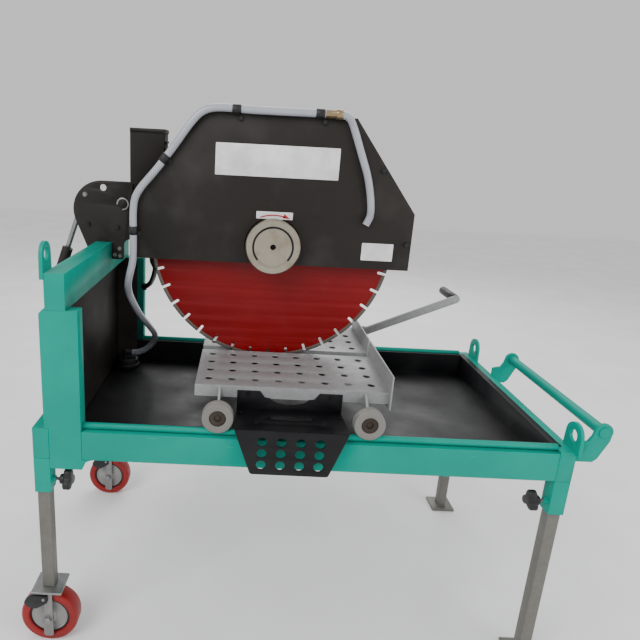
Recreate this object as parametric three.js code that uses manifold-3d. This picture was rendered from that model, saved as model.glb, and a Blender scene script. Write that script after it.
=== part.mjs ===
// A masonry saw: a steel stand with a water tray, a sliding perforated cart that runs on two round track
// bars, and a tilting cutting head that carries a 650 mm blade under a black guard.
// Units are millimetres, +X runs along the rails, +Y to the back, +Z up.
// The pieces are laid out on a datum: X = 0 under the spindle at rest, Y = 0 at the front rail's front
// face, Z = 0 at the end rails' top face. The whole saw is then moved so that its origin is the middle
// of its footprint at floor level.
import * as THREE from "three";
import { mergeVertices } from "three/addons/utils/BufferGeometryUtils.js";
import Module from "manifold-3d";

const wasm = await Module();
wasm.setup();

// ---------------------------------------------------------------- driving dimensions
const GAP = 0.3; // clearance between two pieces that touch

const RAIL_HEIGHT = 77;
const TUBE = 38; // narrow side of every stand tube
const FRAME_DEPTH = 685;
const FRAME_LEFT = -543;
const FRAME_RIGHT = 724;
const FLOOR_Z = -600;
const LONG_RAIL_TOP = -5; // the long rails' top face is this far below the end rails'
const BAR_RADIUS = 8;
const BAR_Z = LONG_RAIL_TOP + BAR_RADIUS + GAP;
const BAR_FRONT_Y = TUBE / 2;
const BAR_REAR_Y = FRAME_DEPTH - TUBE / 2;

const COLUMN_LEFT = -515;
const COLUMN_RIGHT = -430;
const REAR_COLUMN_RIGHT = -400;
const BEAM_LEFT = -501;
const BEAM_RIGHT = -456;
const BEAM_BOTTOM = 284;
const BEAM_TOP = 366;

const SOCKET_BOTTOM = -168;
const LEG_SIZE = 30;
const LEG_TOP = -92;

const CASTER_RADIUS = 72;
const CASTER_WIDTH = 44;
const CASTER_AXLE_Z = FLOOR_Z + CASTER_RADIUS;
const CASTER_PLATE_Z = CASTER_AXLE_Z + CASTER_RADIUS + 14;

const BLADE_RADIUS = 325;
const BLADE_THICKNESS = 4;
const BLADE_SLOTS = 38;
const BLADE_Y = FRAME_DEPTH / 2;
const SPINDLE_Z = 402;

const GUARD_FRONT_Y = 300;
const GUARD_REAR_Y = 2 * BLADE_Y - GUARD_FRONT_Y;
const GUARD_HALF_TOP = 192;
const GUARD_HALF_WIDTH = 364;
const GUARD_TOP = 730;
const GUARD_SHOULDER = 501;
const GUARD_BOTTOM = 352;
const GUARD_SHEET = 3;

const PIVOT_X = -422.5;
const PIVOT_Z = 476.6;
const PIN_RADIUS = 12;
const CHEEK_FRONT_Y = 441.5;
const CHEEK_REAR_Y = 560;
const CHEEK_THICKNESS = 8;

const ARM_FRONT_Y = 450;
const ARM_REAR_Y = 488;
const ARM_END_RADIUS = 58;
const HOUSING_RADIUS = 56;

const STRUT_Y = 525;
const STRUT_RADIUS = 16;
const STRUT_TOP = { x: -552, z: 491 };
const STRUT_FOOT = { x: -650, z: 209 };
const STRUT_PIN_RADIUS = 6;

const MOTOR_X = -170;
const MOTOR_Z = 608;
const MOTOR_FRONT_Y = 458;
const MOTOR_LENGTH = 232;
const MOTOR_RADIUS = 92;
const PULLEY_RADIUS = 60;
const PULLEY_FRONT_Y = 398;
const PULLEY_WIDTH = 38;

const TABLE_TOP = 95;
const TABLE_LEFT = -177;
const TABLE_RIGHT = 292;
const TABLE_SHEET = 3;
const TABLE_FRONT_Y = 78;
const TABLE_REAR_Y = FRAME_DEPTH - TABLE_FRONT_Y;
const SLOT_HALF = 15.5;
const LIP_HEIGHT = 30;
const HOLE_PITCH = 57.5;
const HOLE_RADIUS = 8.5;
const HOLE_COLUMNS = 8;
const HOLE_ROWS = 4;
const FENCE_TOP = 141;

const WHEEL_RADIUS = 37;
const WHEEL_WIDTH = 25;
const WHEEL_BORE = 8;
const WHEEL_Z = 41;
const WHEEL_LEFT_X = -117;
const WHEEL_RIGHT_X = 236;

const TRAY_DEPTH = 68;
const HOSE_RADIUS = 9.5;
const HOSE_Y = GUARD_FRONT_Y - HOSE_RADIUS - 1;

// ---------------------------------------------------------------- materials
const material = (color, roughness, metalness) =>
  new THREE.MeshStandardMaterial({ color, roughness, metalness });
const greenPaint = material("#0fa58f", 0.45, 0.0);
const blackPaint = material("#2c2927", 0.5, 0.1);
const blackPlastic = material("#141416", 0.55, 0.0);
const trayBlack = material("#0d0e10", 0.35, 0.0);
const galvanised = material("#9a9b9c", 0.5, 0.7);
const plainSteel = material("#8e8f8d", 0.45, 0.8);
const machinedSteel = material("#b9b4a8", 0.3, 0.9);
const bladeRed = material("#8d1014", 0.4, 0.1);
const casterRed = material("#b0201c", 0.5, 0.0);
const motorGrey = material("#3a3d40", 0.5, 0.2);
const beltRubber = material("#1a1a1a", 0.8, 0.0);
const hoseClear = material("#a7abb3", 0.35, 0.0);
const brass = material("#b99a63", 0.35, 0.8);
const buttonGreen = material("#1d8a3a", 0.4, 0.0);
const buttonRed = material("#b5161b", 0.4, 0.0);

// ---------------------------------------------------------------- solids and geometry helpers
function solidOf(geometry) {
  const bare = geometry.clone();
  bare.deleteAttribute("normal");
  bare.deleteAttribute("uv");
  const merged = mergeVertices(bare, 1e-4);
  return new wasm.Manifold(
    new wasm.Mesh({
      numProp: 3,
      vertProperties: new Float32Array(merged.attributes.position.array),
      triVerts: new Uint32Array(merged.index.array),
    }),
  );
}

function geometryOf(solid) {
  const mesh = solid.getMesh();
  const geometry = new THREE.BufferGeometry();
  geometry.setAttribute("position", new THREE.BufferAttribute(new Float32Array(mesh.vertProperties), 3));
  geometry.setIndex(new THREE.BufferAttribute(new Uint32Array(mesh.triVerts), 1));
  return geometry;
}

const joined = (geometries) =>
  geometries.map(solidOf).reduce((whole, piece) => whole.add(piece));

// Joins the first list of geometries and cuts the second list out of them.
function shaped(pieces, cuts = []) {
  let solid = joined(pieces);
  if (cuts.length) {
    solid = solid.subtract(joined(cuts));
  }
  return geometryOf(solid);
}

function block(x0, x1, y0, y1, z0, z1) {
  const geometry = new THREE.BoxGeometry(x1 - x0, y1 - y0, z1 - z0);
  return geometry.translate((x0 + x1) / 2, (y0 + y1) / 2, (z0 + z1) / 2);
}

function rodAlongY(x, z, radius, y0, y1, sides = 16) {
  const geometry = new THREE.CylinderGeometry(radius, radius, y1 - y0, sides);
  return geometry.translate(x, (y0 + y1) / 2, z);
}

function rodAlongX(y, z, radius, x0, x1, sides = 16) {
  const geometry = new THREE.CylinderGeometry(radius, radius, x1 - x0, sides);
  return geometry.rotateZ(Math.PI / 2).translate((x0 + x1) / 2, y, z);
}

function rodAlongZ(x, y, radius, z0, z1, sides = 16) {
  const geometry = new THREE.CylinderGeometry(radius, radius, z1 - z0, sides);
  return geometry.rotateX(Math.PI / 2).translate(x, y, (z0 + z1) / 2);
}

// A shape drawn in X and Z, given thickness from y0 to y1.
function plateXZ(shape, y0, y1, curveSegments = 10) {
  const geometry = new THREE.ExtrudeGeometry(shape, {
    depth: y1 - y0,
    bevelEnabled: false,
    curveSegments,
  });
  return geometry.rotateX(Math.PI / 2).translate(0, y1, 0);
}

// A shape drawn in Y and Z, given thickness from x0 to x1.
function plateYZ(shape, x0, x1, curveSegments = 10) {
  const geometry = new THREE.ExtrudeGeometry(shape, {
    depth: x1 - x0,
    bevelEnabled: false,
    curveSegments,
  });
  const turn = new THREE.Matrix4().makeBasis(
    new THREE.Vector3(0, 1, 0),
    new THREE.Vector3(0, 0, 1),
    new THREE.Vector3(1, 0, 0),
  );
  return geometry.applyMatrix4(turn).translate(x0, 0, 0);
}

function polygon(points) {
  return new THREE.Shape(points.map(([a, b]) => new THREE.Vector2(a, b)));
}

function holeIn(shape, a, b, radius) {
  const path = new THREE.Path();
  path.absarc(a, b, radius, 0, 2 * Math.PI, true);
  shape.holes.push(path);
}

// A turned piece about a line along Y: the profile lists [radius, y] and closes on the axis or itself.
function turnedAlongY(profile, x, z, sides = 28) {
  const points = profile.map(([radius, y]) => new THREE.Vector2(radius, y));
  return new THREE.LatheGeometry(points, sides).translate(x, 0, z);
}

function tubeThrough(points, radius, steps, sides = 8) {
  const curve = new THREE.CatmullRomCurve3(points.map((p) => new THREE.Vector3(...p)), false, "centripetal");
  return new THREE.ExtrudeGeometry(circleOfSides(radius, sides), {
    steps,
    extrudePath: curve,
    bevelEnabled: false,
  });
}

function circleOfSides(radius, sides) {
  const corners = Array.from({ length: sides }, (_, i) => {
    const angle = (2 * Math.PI * i) / sides;
    return [radius * Math.cos(angle), radius * Math.sin(angle)];
  });
  return polygon(corners);
}

const saw = new THREE.Group();

function addPiece(name, geometry, finish) {
  const mesh = new THREE.Mesh(geometry, finish);
  mesh.name = name;
  saw.add(mesh);
}

// ---------------------------------------------------------------- stand: rails, columns, beam
function addRails() {
  const [bottom, top] = [-RAIL_HEIGHT, 0];
  const leftInner = FRAME_LEFT + TUBE;
  const rightInner = FRAME_RIGHT - TUBE;
  const longRight = rightInner - GAP;
  const longRail = (left, y0) => block(left + GAP, longRight, y0, y0 + TUBE, bottom, LONG_RAIL_TOP);
  addPiece("front_rail", longRail(COLUMN_RIGHT, 0), greenPaint);
  addPiece("rear_rail", longRail(REAR_COLUMN_RIGHT, FRAME_DEPTH - TUBE), greenPaint);
  addPiece("left_rail", block(FRAME_LEFT, leftInner, 0, FRAME_DEPTH, bottom, top), greenPaint);
  const rightTube = block(rightInner, FRAME_RIGHT, 0, FRAME_DEPTH, bottom, top);
  const eyes = [17, FRAME_DEPTH - 61].map((y) => liftingEye(y, -4, 37, 32, FRAME_RIGHT - 8, FRAME_RIGHT));
  addPiece("right_rail", shaped([rightTube, ...eyes]), greenPaint);
}

// A lifting eye: a plate with a round top and a hole, standing on a tube. baseZ is where it is welded.
function liftingEye(y, baseZ, holeZ, radius, x0, x1) {
  const shape = new THREE.Shape();
  shape.moveTo(y - radius - 2, baseZ);
  shape.lineTo(y + radius + 2, baseZ);
  shape.lineTo(y + radius, holeZ);
  shape.absarc(y, holeZ, radius, 0, Math.PI, false);
  shape.closePath();
  holeIn(shape, y, holeZ, 15);
  return plateYZ(shape, x0, x1, 8);
}

// The bars lie on the long rails and stop against the right rail.
function addTrackBars() {
  const right = FRAME_RIGHT - TUBE - GAP;
  const bar = (left, y) => rodAlongX(y, BAR_Z, BAR_RADIUS, left + GAP, right, 20);
  addPiece("front_track_bar", bar(COLUMN_RIGHT, BAR_FRONT_Y), greenPaint);
  addPiece("rear_track_bar", bar(REAR_COLUMN_RIGHT, BAR_REAR_Y), greenPaint);
}

// A column stands beside the left rail and widens over its top face; a curved gusset runs under the rail.
function columnShape(right) {
  const inner = FRAME_LEFT + TUBE + GAP;
  const foot = -103;
  const under = -RAIL_HEIGHT - GAP;
  const shape = new THREE.Shape();
  shape.moveTo(inner, foot);
  shape.lineTo(right, foot);
  shape.quadraticCurveTo(right + 4, under - 2, right + 25, under);
  shape.lineTo(right, under);
  shape.lineTo(right, BEAM_BOTTOM - GAP);
  shape.lineTo(COLUMN_LEFT + 7, BEAM_BOTTOM - GAP);
  shape.lineTo(COLUMN_LEFT, BEAM_BOTTOM - 8);
  shape.lineTo(COLUMN_LEFT, GAP);
  shape.lineTo(inner, GAP);
  shape.closePath();
  return shape;
}

function addColumns() {
  const rear = columnShape(REAR_COLUMN_RIGHT);
  addPiece("front_column", plateXZ(columnShape(COLUMN_RIGHT), 0, TUBE, 6), greenPaint);
  addPiece("rear_column", plateXZ(rear, FRAME_DEPTH - TUBE, FRAME_DEPTH, 6), greenPaint);
}

// The beam across both columns, with its lifting eye and the plate that holds the tilt strut's foot.
function addTopBeam() {
  const tube = block(BEAM_LEFT, BEAM_RIGHT, 0, FRAME_DEPTH, BEAM_BOTTOM, BEAM_TOP);
  const eye = liftingEye(28, BEAM_TOP - 14, BEAM_TOP + 37, 28, BEAM_LEFT - 8, BEAM_LEFT + 0.5);
  const plate = new THREE.Shape();
  plate.moveTo(BEAM_LEFT + 1, BEAM_TOP - 40);
  plate.lineTo(BEAM_LEFT - 20, BEAM_TOP - 40);
  plate.lineTo(STRUT_FOOT.x - 4, STRUT_FOOT.z + 14);
  plate.absarc(STRUT_FOOT.x, STRUT_FOOT.z, 14, 0.8 * Math.PI, 1.7 * Math.PI, false);
  plate.lineTo(BEAM_LEFT + 1, BEAM_BOTTOM + 6);
  plate.closePath();
  const plateFront = STRUT_Y + STRUT_RADIUS + 4;
  const pin = rodAlongY(STRUT_FOOT.x, STRUT_FOOT.z, STRUT_PIN_RADIUS, STRUT_Y - STRUT_RADIUS, plateFront + 4);
  const anchor = plateXZ(plate, plateFront, plateFront + 8, 5);
  addPiece("top_beam", shaped([tube, eye, anchor, pin]), greenPaint);
}

// ---------------------------------------------------------------- legs, knobs and casters
// Each corner has the tube's outer X side and its front Y side; the knob points inwards along X.
const CORNERS = [
  { name: "front_left", x0: FRAME_LEFT, y0: 0, inward: 1 },
  { name: "rear_left", x0: FRAME_LEFT, y0: FRAME_DEPTH - TUBE, inward: 1 },
  { name: "front_right", x0: FRAME_RIGHT - TUBE, y0: 0, inward: -1 },
  { name: "rear_right", x0: FRAME_RIGHT - TUBE, y0: FRAME_DEPTH - TUBE, inward: -1 },
];
const KNOB_Z = -141;
const STEM_RADIUS = 4;

function addLegCorner({ name, x0, y0, inward }) {
  const x = x0 + TUBE / 2;
  const y = y0 + TUBE / 2;
  const half = LEG_SIZE / 2;
  const bore = half + GAP;
  const top = -RAIL_HEIGHT - GAP;
  const tube = block(x0, x0 + TUBE, y0, y0 + TUBE, SOCKET_BOTTOM, top);
  const sideX = x + (inward * TUBE) / 2;
  const nutEnds = [sideX, sideX + inward * 7].sort((a, b) => a - b);
  const nut = rodAlongX(y, KNOB_Z, 9, ...nutEnds, 6);
  const opening = block(x - bore, x + bore, y - bore, y + bore, SOCKET_BOTTOM - 1, LEG_TOP + 6);
  const stemBore = rodAlongX(y, KNOB_Z, STEM_RADIUS + GAP, sideX - 8, sideX + 8, 12);
  addPiece("leg_socket_" + name, shaped([tube, nut], [opening, stemBore]), greenPaint);

  const isWheeled = name.endsWith("left");
  const legBottom = isWheeled ? CASTER_PLATE_Z + GAP : FLOOR_Z;
  const leg = [block(x - half, x + half, y - half, y + half, legBottom, LEG_TOP)];
  if (!isWheeled) {
    leg.push(block(x - 40, x + 40, y - 40, y + 40, FLOOR_Z, FLOOR_Z + 8));
  }
  addPiece("inner_leg_" + name, shaped(leg), galvanised);
  addKnob(name, sideX, y, inward);
}

// A three-lobed clamping knob on a threaded stem that presses on the inner leg.
function addKnob(name, sideX, y, inward) {
  const along = (distance) => sideX + inward * distance;
  const span = (from, to) => [Math.min(along(from), along(to)), Math.max(along(from), along(to))];
  const stem = rodAlongX(y, KNOB_Z, STEM_RADIUS, ...span(-3.2, 24), 12);
  const hub = rodAlongX(y, KNOB_Z, 12, ...span(18, 44), 14);
  const lobes = [90, 210, 330].map((degrees) => {
    const angle = (degrees * Math.PI) / 180;
    return rodAlongX(y + 17 * Math.cos(angle), KNOB_Z + 17 * Math.sin(angle), 10, ...span(28, 46), 10);
  });
  addPiece("leg_knob_" + name, shaped([stem, hub, ...lobes]), blackPlastic);
}

// A rigid caster under a left leg: plate, two fork sides, axle, a tyred wheel and a brake pedal.
function addCaster({ name, x0, y0 }) {
  const side = name.split("_")[0];
  const x = x0 + TUBE / 2;
  const y = y0 + TUBE / 2;
  const forkY = CASTER_WIDTH / 2 + 3;
  const plate = block(x - 38, x + 38, y - 36, y + 36, CASTER_PLATE_Z - 6, CASTER_PLATE_Z);
  const forkFoot = CASTER_AXLE_Z - 52;
  const forkShape = polygon([
    [x - 12, CASTER_PLATE_Z - 5],
    [x - 12, forkFoot + 5],
    [x - 7, forkFoot],
    [x + 7, forkFoot],
    [x + 12, forkFoot + 5],
    [x + 12, CASTER_PLATE_Z - 5],
  ]);
  const forkFront = plateXZ(forkShape, y - forkY - 4, y - forkY);
  const forkRear = plateXZ(forkShape, y + forkY, y + forkY + 4);
  const axle = rodAlongY(x, CASTER_AXLE_Z, 7, y - forkY - 8, y + forkY + 8, 12);
  const pedalPinY = y - forkY - 4;
  const pedalX = x - 7;
  const pedalZ = CASTER_PLATE_Z - 20;
  const pedalPin = rodAlongY(pedalX, pedalZ, 4, pedalPinY - 10, pedalPinY + 1, 10);
  addPiece("caster_fork_" + side, shaped([plate, forkFront, forkRear, axle, pedalPin]), plainSteel);

  const half = CASTER_WIDTH / 2;
  const wheel = turnedAlongY(
    [
      [7.4, y - half - 2],
      [16, y - half - 2],
      [20, y - half + 6],
      [50, y - half + 6],
      [54, y - half],
      [CASTER_RADIUS - 5, y - half],
      [CASTER_RADIUS, y - half + 7],
      [CASTER_RADIUS, y + half - 7],
      [CASTER_RADIUS - 5, y + half],
      [54, y + half],
      [50, y + half - 6],
      [20, y + half - 6],
      [16, y + half + 2],
      [7.4, y + half + 2],
      [7.4, y - half - 2],
    ],
    x,
    CASTER_AXLE_Z,
    24,
  );
  addPiece("caster_wheel_" + side, wheel, casterRed);

  const pedal = new THREE.Shape();
  pedal.moveTo(pedalX + 9, pedalZ - 9);
  pedal.lineTo(pedalX + 9, pedalZ + 9);
  pedal.lineTo(pedalX - 22, pedalZ + 11);
  pedal.quadraticCurveTo(pedalX - 44, pedalZ + 8, pedalX - 48, pedalZ - 10);
  pedal.quadraticCurveTo(pedalX - 38, pedalZ - 30, pedalX - 16, pedalZ - 25);
  pedal.closePath();
  holeIn(pedal, pedalX, pedalZ, 4.3);
  addPiece("caster_brake_" + side, plateXZ(pedal, pedalPinY - 9.6, pedalPinY - GAP, 6), blackPlastic);
}

// ---------------------------------------------------------------- carry handle, tray, splash panel, pump
const HANDLE_X = 780;
const HANDLE_Z = 52;
const HANDLE_RADIUS = 13;
const HANDLE_FRONT_Y = 6;
const HANDLE_REAR_Y = 480;

function handleBracket(y0, y1) {
  const shape = new THREE.Shape();
  shape.moveTo(FRAME_RIGHT + GAP, -25);
  shape.lineTo(766, -25);
  shape.lineTo(776, -17);
  shape.lineTo(798, 30);
  shape.absarc(HANDLE_X, HANDLE_Z, 21, -0.35, 0.85 * Math.PI, false);
  shape.lineTo(756, 40);
  shape.lineTo(748, 27);
  shape.lineTo(FRAME_RIGHT + GAP, 22);
  shape.closePath();
  return plateXZ(shape, y0, y1, 8);
}

function addCarryHandle() {
  const bar = rodAlongY(HANDLE_X, HANDLE_Z, HANDLE_RADIUS, HANDLE_FRONT_Y - 3, HANDLE_REAR_Y + 11, 18);
  const brackets = [HANDLE_FRONT_Y, HANDLE_REAR_Y].map((y) => handleBracket(y, y + 8));
  addPiece("carry_handle", shaped([bar, ...brackets]), greenPaint);
}

// The tray hangs between the rails, with a lip that runs round its top over the right rail.
function addTray() {
  const x0 = FRAME_LEFT + TUBE + GAP;
  const x1 = FRAME_RIGHT - TUBE - GAP;
  const y0 = TUBE + GAP;
  const y1 = FRAME_DEPTH - TUBE - GAP;
  const wall = 3;
  const lipTop = GAP + 2;
  const lipInset = BAR_FRONT_Y + BAR_RADIUS + 0.6;
  const lipLeft = REAR_COLUMN_RIGHT + 1;
  const outer = block(x0, x1, y0, y1, -TRAY_DEPTH, lipTop);
  const lip = block(lipLeft, FRAME_RIGHT - 23, lipInset, FRAME_DEPTH - lipInset, GAP, lipTop);
  const inner = block(x0 + wall, x1 - wall, y0 + wall, y1 - wall, -TRAY_DEPTH + wall, lipTop + 1);
  addPiece("water_tray", shaped([outer, lip], [inner]), trayBlack);
}

// The sheet that keeps spray off the left end, hanging from the beam down into the tray, with a return
// along the rear column's front face.
function addSplashPanel() {
  const x0 = -487;
  const y0 = TUBE + 4;
  const y1 = FRAME_DEPTH - TUBE - 4;
  const top = BEAM_BOTTOM - GAP;
  const bottom = -62;
  const sheet = block(x0, x0 + 3, y0, y1, bottom, top);
  const rearReturn = block(x0, -420, y1 - 3, y1, bottom, top);
  addPiece("splash_panel", shaped([sheet, rearReturn]), blackPaint);
}

const PUMP = { x: -440, y: 577, top: -34 };

// The submersible pump stands in the tray: a strainer foot, a motor body and an outlet elbow.
function addPump() {
  const floor = -TRAY_DEPTH + 3 + GAP;
  const profile = [
    [0, floor],
    [40, floor],
    [40, floor + 10],
    [36, floor + 13],
    [36, PUMP.top - 5],
    [30, PUMP.top],
    [0, PUMP.top],
  ].map(([radius, z]) => new THREE.Vector2(radius, z));
  const body = new THREE.LatheGeometry(profile, 20).rotateX(Math.PI / 2).translate(PUMP.x, PUMP.y, 0);
  const riser = rodAlongZ(PUMP.x - 6, PUMP.y, 9, PUMP.top - 2, PUMP.top + 24, 12);
  const spout = rodAlongX(PUMP.y, PUMP.top + 16, 8, PUMP.x - 6, PUMP.x + 16, 12);
  addPiece("water_pump", shaped([body, riser, spout]), blackPlastic);
}

// ---------------------------------------------------------------- pivot cheeks and tilt strut
// The front cheek straddles the beam with a long tail outside it and a short one inside it, and is round
// on its left side. Its small hole takes a locking pin that holds the head up.
function frontCheekShape() {
  const footZ = BEAM_TOP + GAP;
  const round = { x: -481, z: 456, radius: 82 };
  const shape = new THREE.Shape();
  shape.moveTo(-518, 330);
  shape.lineTo(BEAM_LEFT - GAP, 330);
  shape.lineTo(BEAM_LEFT - GAP, footZ);
  shape.lineTo(BEAM_RIGHT + GAP, footZ);
  shape.lineTo(BEAM_RIGHT + GAP, 317);
  shape.lineTo(-429, 317);
  shape.quadraticCurveTo(-421, 317, -421, 325);
  shape.lineTo(-421, 356);
  shape.quadraticCurveTo(-421, 374, -403, 376);
  shape.lineTo(-395, 377);
  shape.lineTo(-395, round.z + round.radius - 4);
  shape.lineTo(-405, round.z + round.radius);
  shape.lineTo(round.x, round.z + round.radius);
  shape.absarc(round.x, round.z, round.radius, Math.PI / 2, 1.115 * Math.PI, false);
  shape.closePath();
  holeIn(shape, PIVOT_X, PIVOT_Z, PIN_RADIUS + GAP);
  holeIn(shape, -478.3, 519, 9.5);
  return shape;
}

// The rear cheek stands on the beam, with a base plate that runs forward to the front cheek.
function addCheeks() {
  const front = plateXZ(frontCheekShape(), CHEEK_FRONT_Y, CHEEK_FRONT_Y + CHEEK_THICKNESS, 14);
  addPiece("pivot_cheek_front", front, blackPaint);

  const footZ = BEAM_TOP + GAP;
  const headRadius = 40;
  const rear = new THREE.Shape();
  rear.moveTo(BEAM_LEFT + 3, footZ);
  rear.lineTo(BEAM_RIGHT - 1, footZ);
  rear.lineTo(PIVOT_X + headRadius * 0.94, PIVOT_Z - headRadius * 0.34);
  rear.absarc(PIVOT_X, PIVOT_Z, headRadius, -0.11 * Math.PI, 0.86 * Math.PI, false);
  rear.closePath();
  holeIn(rear, PIVOT_X, PIVOT_Z, PIN_RADIUS + GAP);
  const plate = plateXZ(rear, CHEEK_REAR_Y, CHEEK_REAR_Y + CHEEK_THICKNESS, 12);
  const baseFront = CHEEK_FRONT_Y + CHEEK_THICKNESS + GAP;
  const base = block(BEAM_LEFT + 3, BEAM_RIGHT - 1, baseFront, CHEEK_REAR_Y + 1, footZ, footZ + 8);
  addPiece("pivot_cheek_rear", shaped([plate, base]), blackPaint);
}

// The strut lies in the plane Y = STRUT_Y: a black cylinder from the foot pin, a bright rod to the head.
function addStrut() {
  const dx = STRUT_TOP.x - STRUT_FOOT.x;
  const dz = STRUT_TOP.z - STRUT_FOOT.z;
  const length = Math.hypot(dx, dz);
  const lean = Math.atan2(dx, dz);
  const place = (geometry) =>
    geometry.rotateY(lean).translate(STRUT_FOOT.x, STRUT_Y, STRUT_FOOT.z);
  const cylinderEnd = 127;
  const eyeHalf = 9;
  const foot = rodAlongY(0, 0, 13, -eyeHalf, eyeHalf);
  const footBore = rodAlongY(0, 0, STRUT_PIN_RADIUS + GAP, -eyeHalf - 1, eyeHalf + 1);
  const barrel = rodAlongZ(0, 0, STRUT_RADIUS, 9, cylinderEnd, 20);
  const rodBore = rodAlongZ(0, 0, 8 + GAP, 22, cylinderEnd + 1, 16);
  addPiece("strut_cylinder", place(shaped([foot, barrel], [rodBore, footBore])), blackPaint);

  const topEye = rodAlongY(0, length, 15, -eyeHalf, eyeHalf);
  const topBore = rodAlongY(0, length, STRUT_PIN_RADIUS + 3.2, -eyeHalf - 1, eyeHalf + 1);
  const rod = rodAlongZ(0, 0, 8, 70, length - 10, 16);
  addPiece("strut_rod", place(shaped([rod, topEye], [topBore])), plainSteel);
}

// ---------------------------------------------------------------- cart
const WHEELS = [
  { name: "front_left", x: WHEEL_LEFT_X, y: BAR_FRONT_Y, toCart: 1 },
  { name: "front_right", x: WHEEL_RIGHT_X, y: BAR_FRONT_Y, toCart: 1 },
  { name: "rear_left", x: WHEEL_LEFT_X, y: BAR_REAR_Y, toCart: -1 },
  { name: "rear_right", x: WHEEL_RIGHT_X, y: BAR_REAR_Y, toCart: -1 },
];

function tablePlate(y0, y1) {
  const intoFence = TABLE_RIGHT + 1;
  const shape = polygon([
    [TABLE_LEFT, y0],
    [intoFence, y0],
    [intoFence, y1],
    [TABLE_LEFT, y1],
  ]);
  const firstX = TABLE_LEFT + 31;
  const firstY = (y0 + y1) / 2 - (HOLE_PITCH * (HOLE_ROWS - 1)) / 2 + 4 * Math.sign(BLADE_Y - y0);
  for (let column = 0; column < HOLE_COLUMNS; column++) {
    for (let row = 0; row < HOLE_ROWS; row++) {
      holeIn(shape, firstX + column * HOLE_PITCH, firstY + row * HOLE_PITCH, HOLE_RADIUS);
    }
  }
  const geometry = new THREE.ExtrudeGeometry(shape, {
    depth: TABLE_SHEET,
    bevelEnabled: false,
    curveSegments: 4,
  });
  return geometry.translate(0, 0, TABLE_TOP - TABLE_SHEET);
}

// The hanger that joins a wheel's axle to the table's long lip.
function wheelHanger({ x, y, toCart }) {
  const lipY = toCart > 0 ? TABLE_FRONT_Y + 1 : TABLE_REAR_Y - 1;
  const nearY = y + toCart * 15;
  const shape = polygon([
    [nearY, WHEEL_Z - 11],
    [lipY, 57],
    [lipY, TABLE_TOP - 5],
    [nearY, WHEEL_Z + 14],
  ]);
  const web = plateYZ(shape, x - 3, x + 3);
  const outer = y - toCart * 9;
  const inner = y + toCart * 26;
  const axle = rodAlongY(x, WHEEL_Z, WHEEL_BORE - GAP, Math.min(outer, inner), Math.max(outer, inner), 14);
  return [web, axle];
}

function addCartTable() {
  const slotFront = BLADE_Y - SLOT_HALF;
  const slotRear = BLADE_Y + SLOT_HALF;
  const under = TABLE_TOP - LIP_HEIGHT;
  const sheet = TABLE_SHEET;
  const right = TABLE_RIGHT + 1;
  const lip = (y0, y1) => block(TABLE_LEFT, right, y0, y1, under, TABLE_TOP - sheet / 2);
  const crossMember = (x) => block(x, x + 30, TABLE_FRONT_Y + 1, TABLE_REAR_Y - 1, under, under + 9);
  const fence = block(TABLE_RIGHT, TABLE_RIGHT + 4, TABLE_FRONT_Y - 13, TABLE_REAR_Y - 10, 54, FENCE_TOP);
  const pieces = [
    tablePlate(TABLE_FRONT_Y, slotFront),
    tablePlate(slotRear, TABLE_REAR_Y),
    lip(TABLE_FRONT_Y, TABLE_FRONT_Y + sheet),
    lip(slotFront - sheet, slotFront),
    lip(slotRear, slotRear + sheet),
    lip(TABLE_REAR_Y - sheet, TABLE_REAR_Y),
    crossMember(TABLE_LEFT + 12),
    crossMember(TABLE_RIGHT - 42),
    fence,
    ...WHEELS.flatMap(wheelHanger),
    ...leverLug(),
  ];
  const gapFront = BLADE_Y - 8;
  const gapBottom = under + 10;
  const bladeGap = block(TABLE_RIGHT - 1, TABLE_RIGHT + 5, gapFront, gapFront + 16, gapBottom, FENCE_TOP + 1);
  addPiece("cart_table", shaped(pieces, [bladeGap]), galvanised);
}

// A grooved wheel: its round groove straddles the track bar, its face is recessed for the bearing.
function addCartWheel({ name, x, y }) {
  const half = WHEEL_WIDTH / 2;
  const grooveRadius = BAR_RADIUS + 1;
  const aboveBar = WHEEL_Z - BAR_Z;
  const grooveStart = 0.03 * Math.PI;
  const groove = Array.from({ length: 5 }, (_, i) => {
    const angle = Math.PI - grooveStart - (i * (Math.PI - 2 * grooveStart)) / 4;
    return [aboveBar - grooveRadius * Math.sin(angle), y + grooveRadius * Math.cos(angle)];
  });
  const bore = WHEEL_BORE + GAP;
  const wheel = turnedAlongY(
    [
      [bore, y - half + 3],
      [18, y - half + 3],
      [18, y - half],
      [WHEEL_RADIUS - 2, y - half],
      [WHEEL_RADIUS, y - half + 1.5],
      ...groove,
      [WHEEL_RADIUS, y + half - 1.5],
      [WHEEL_RADIUS - 2, y + half],
      [18, y + half],
      [18, y + half - 3],
      [bore, y + half - 3],
      [bore, y - half + 3],
    ],
    x,
    WHEEL_Z,
    20,
  );
  addPiece("cart_wheel_" + name, wheel, galvanised);
}

// The black push bracket: ears on the table's lip, a shelf over the rail and a drilled plate in front.
const BRACKET = { left: -74, right: 180, back: TABLE_FRONT_Y - GAP, shelfZ: 36, frontY: -28, sheet: 3 };

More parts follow.
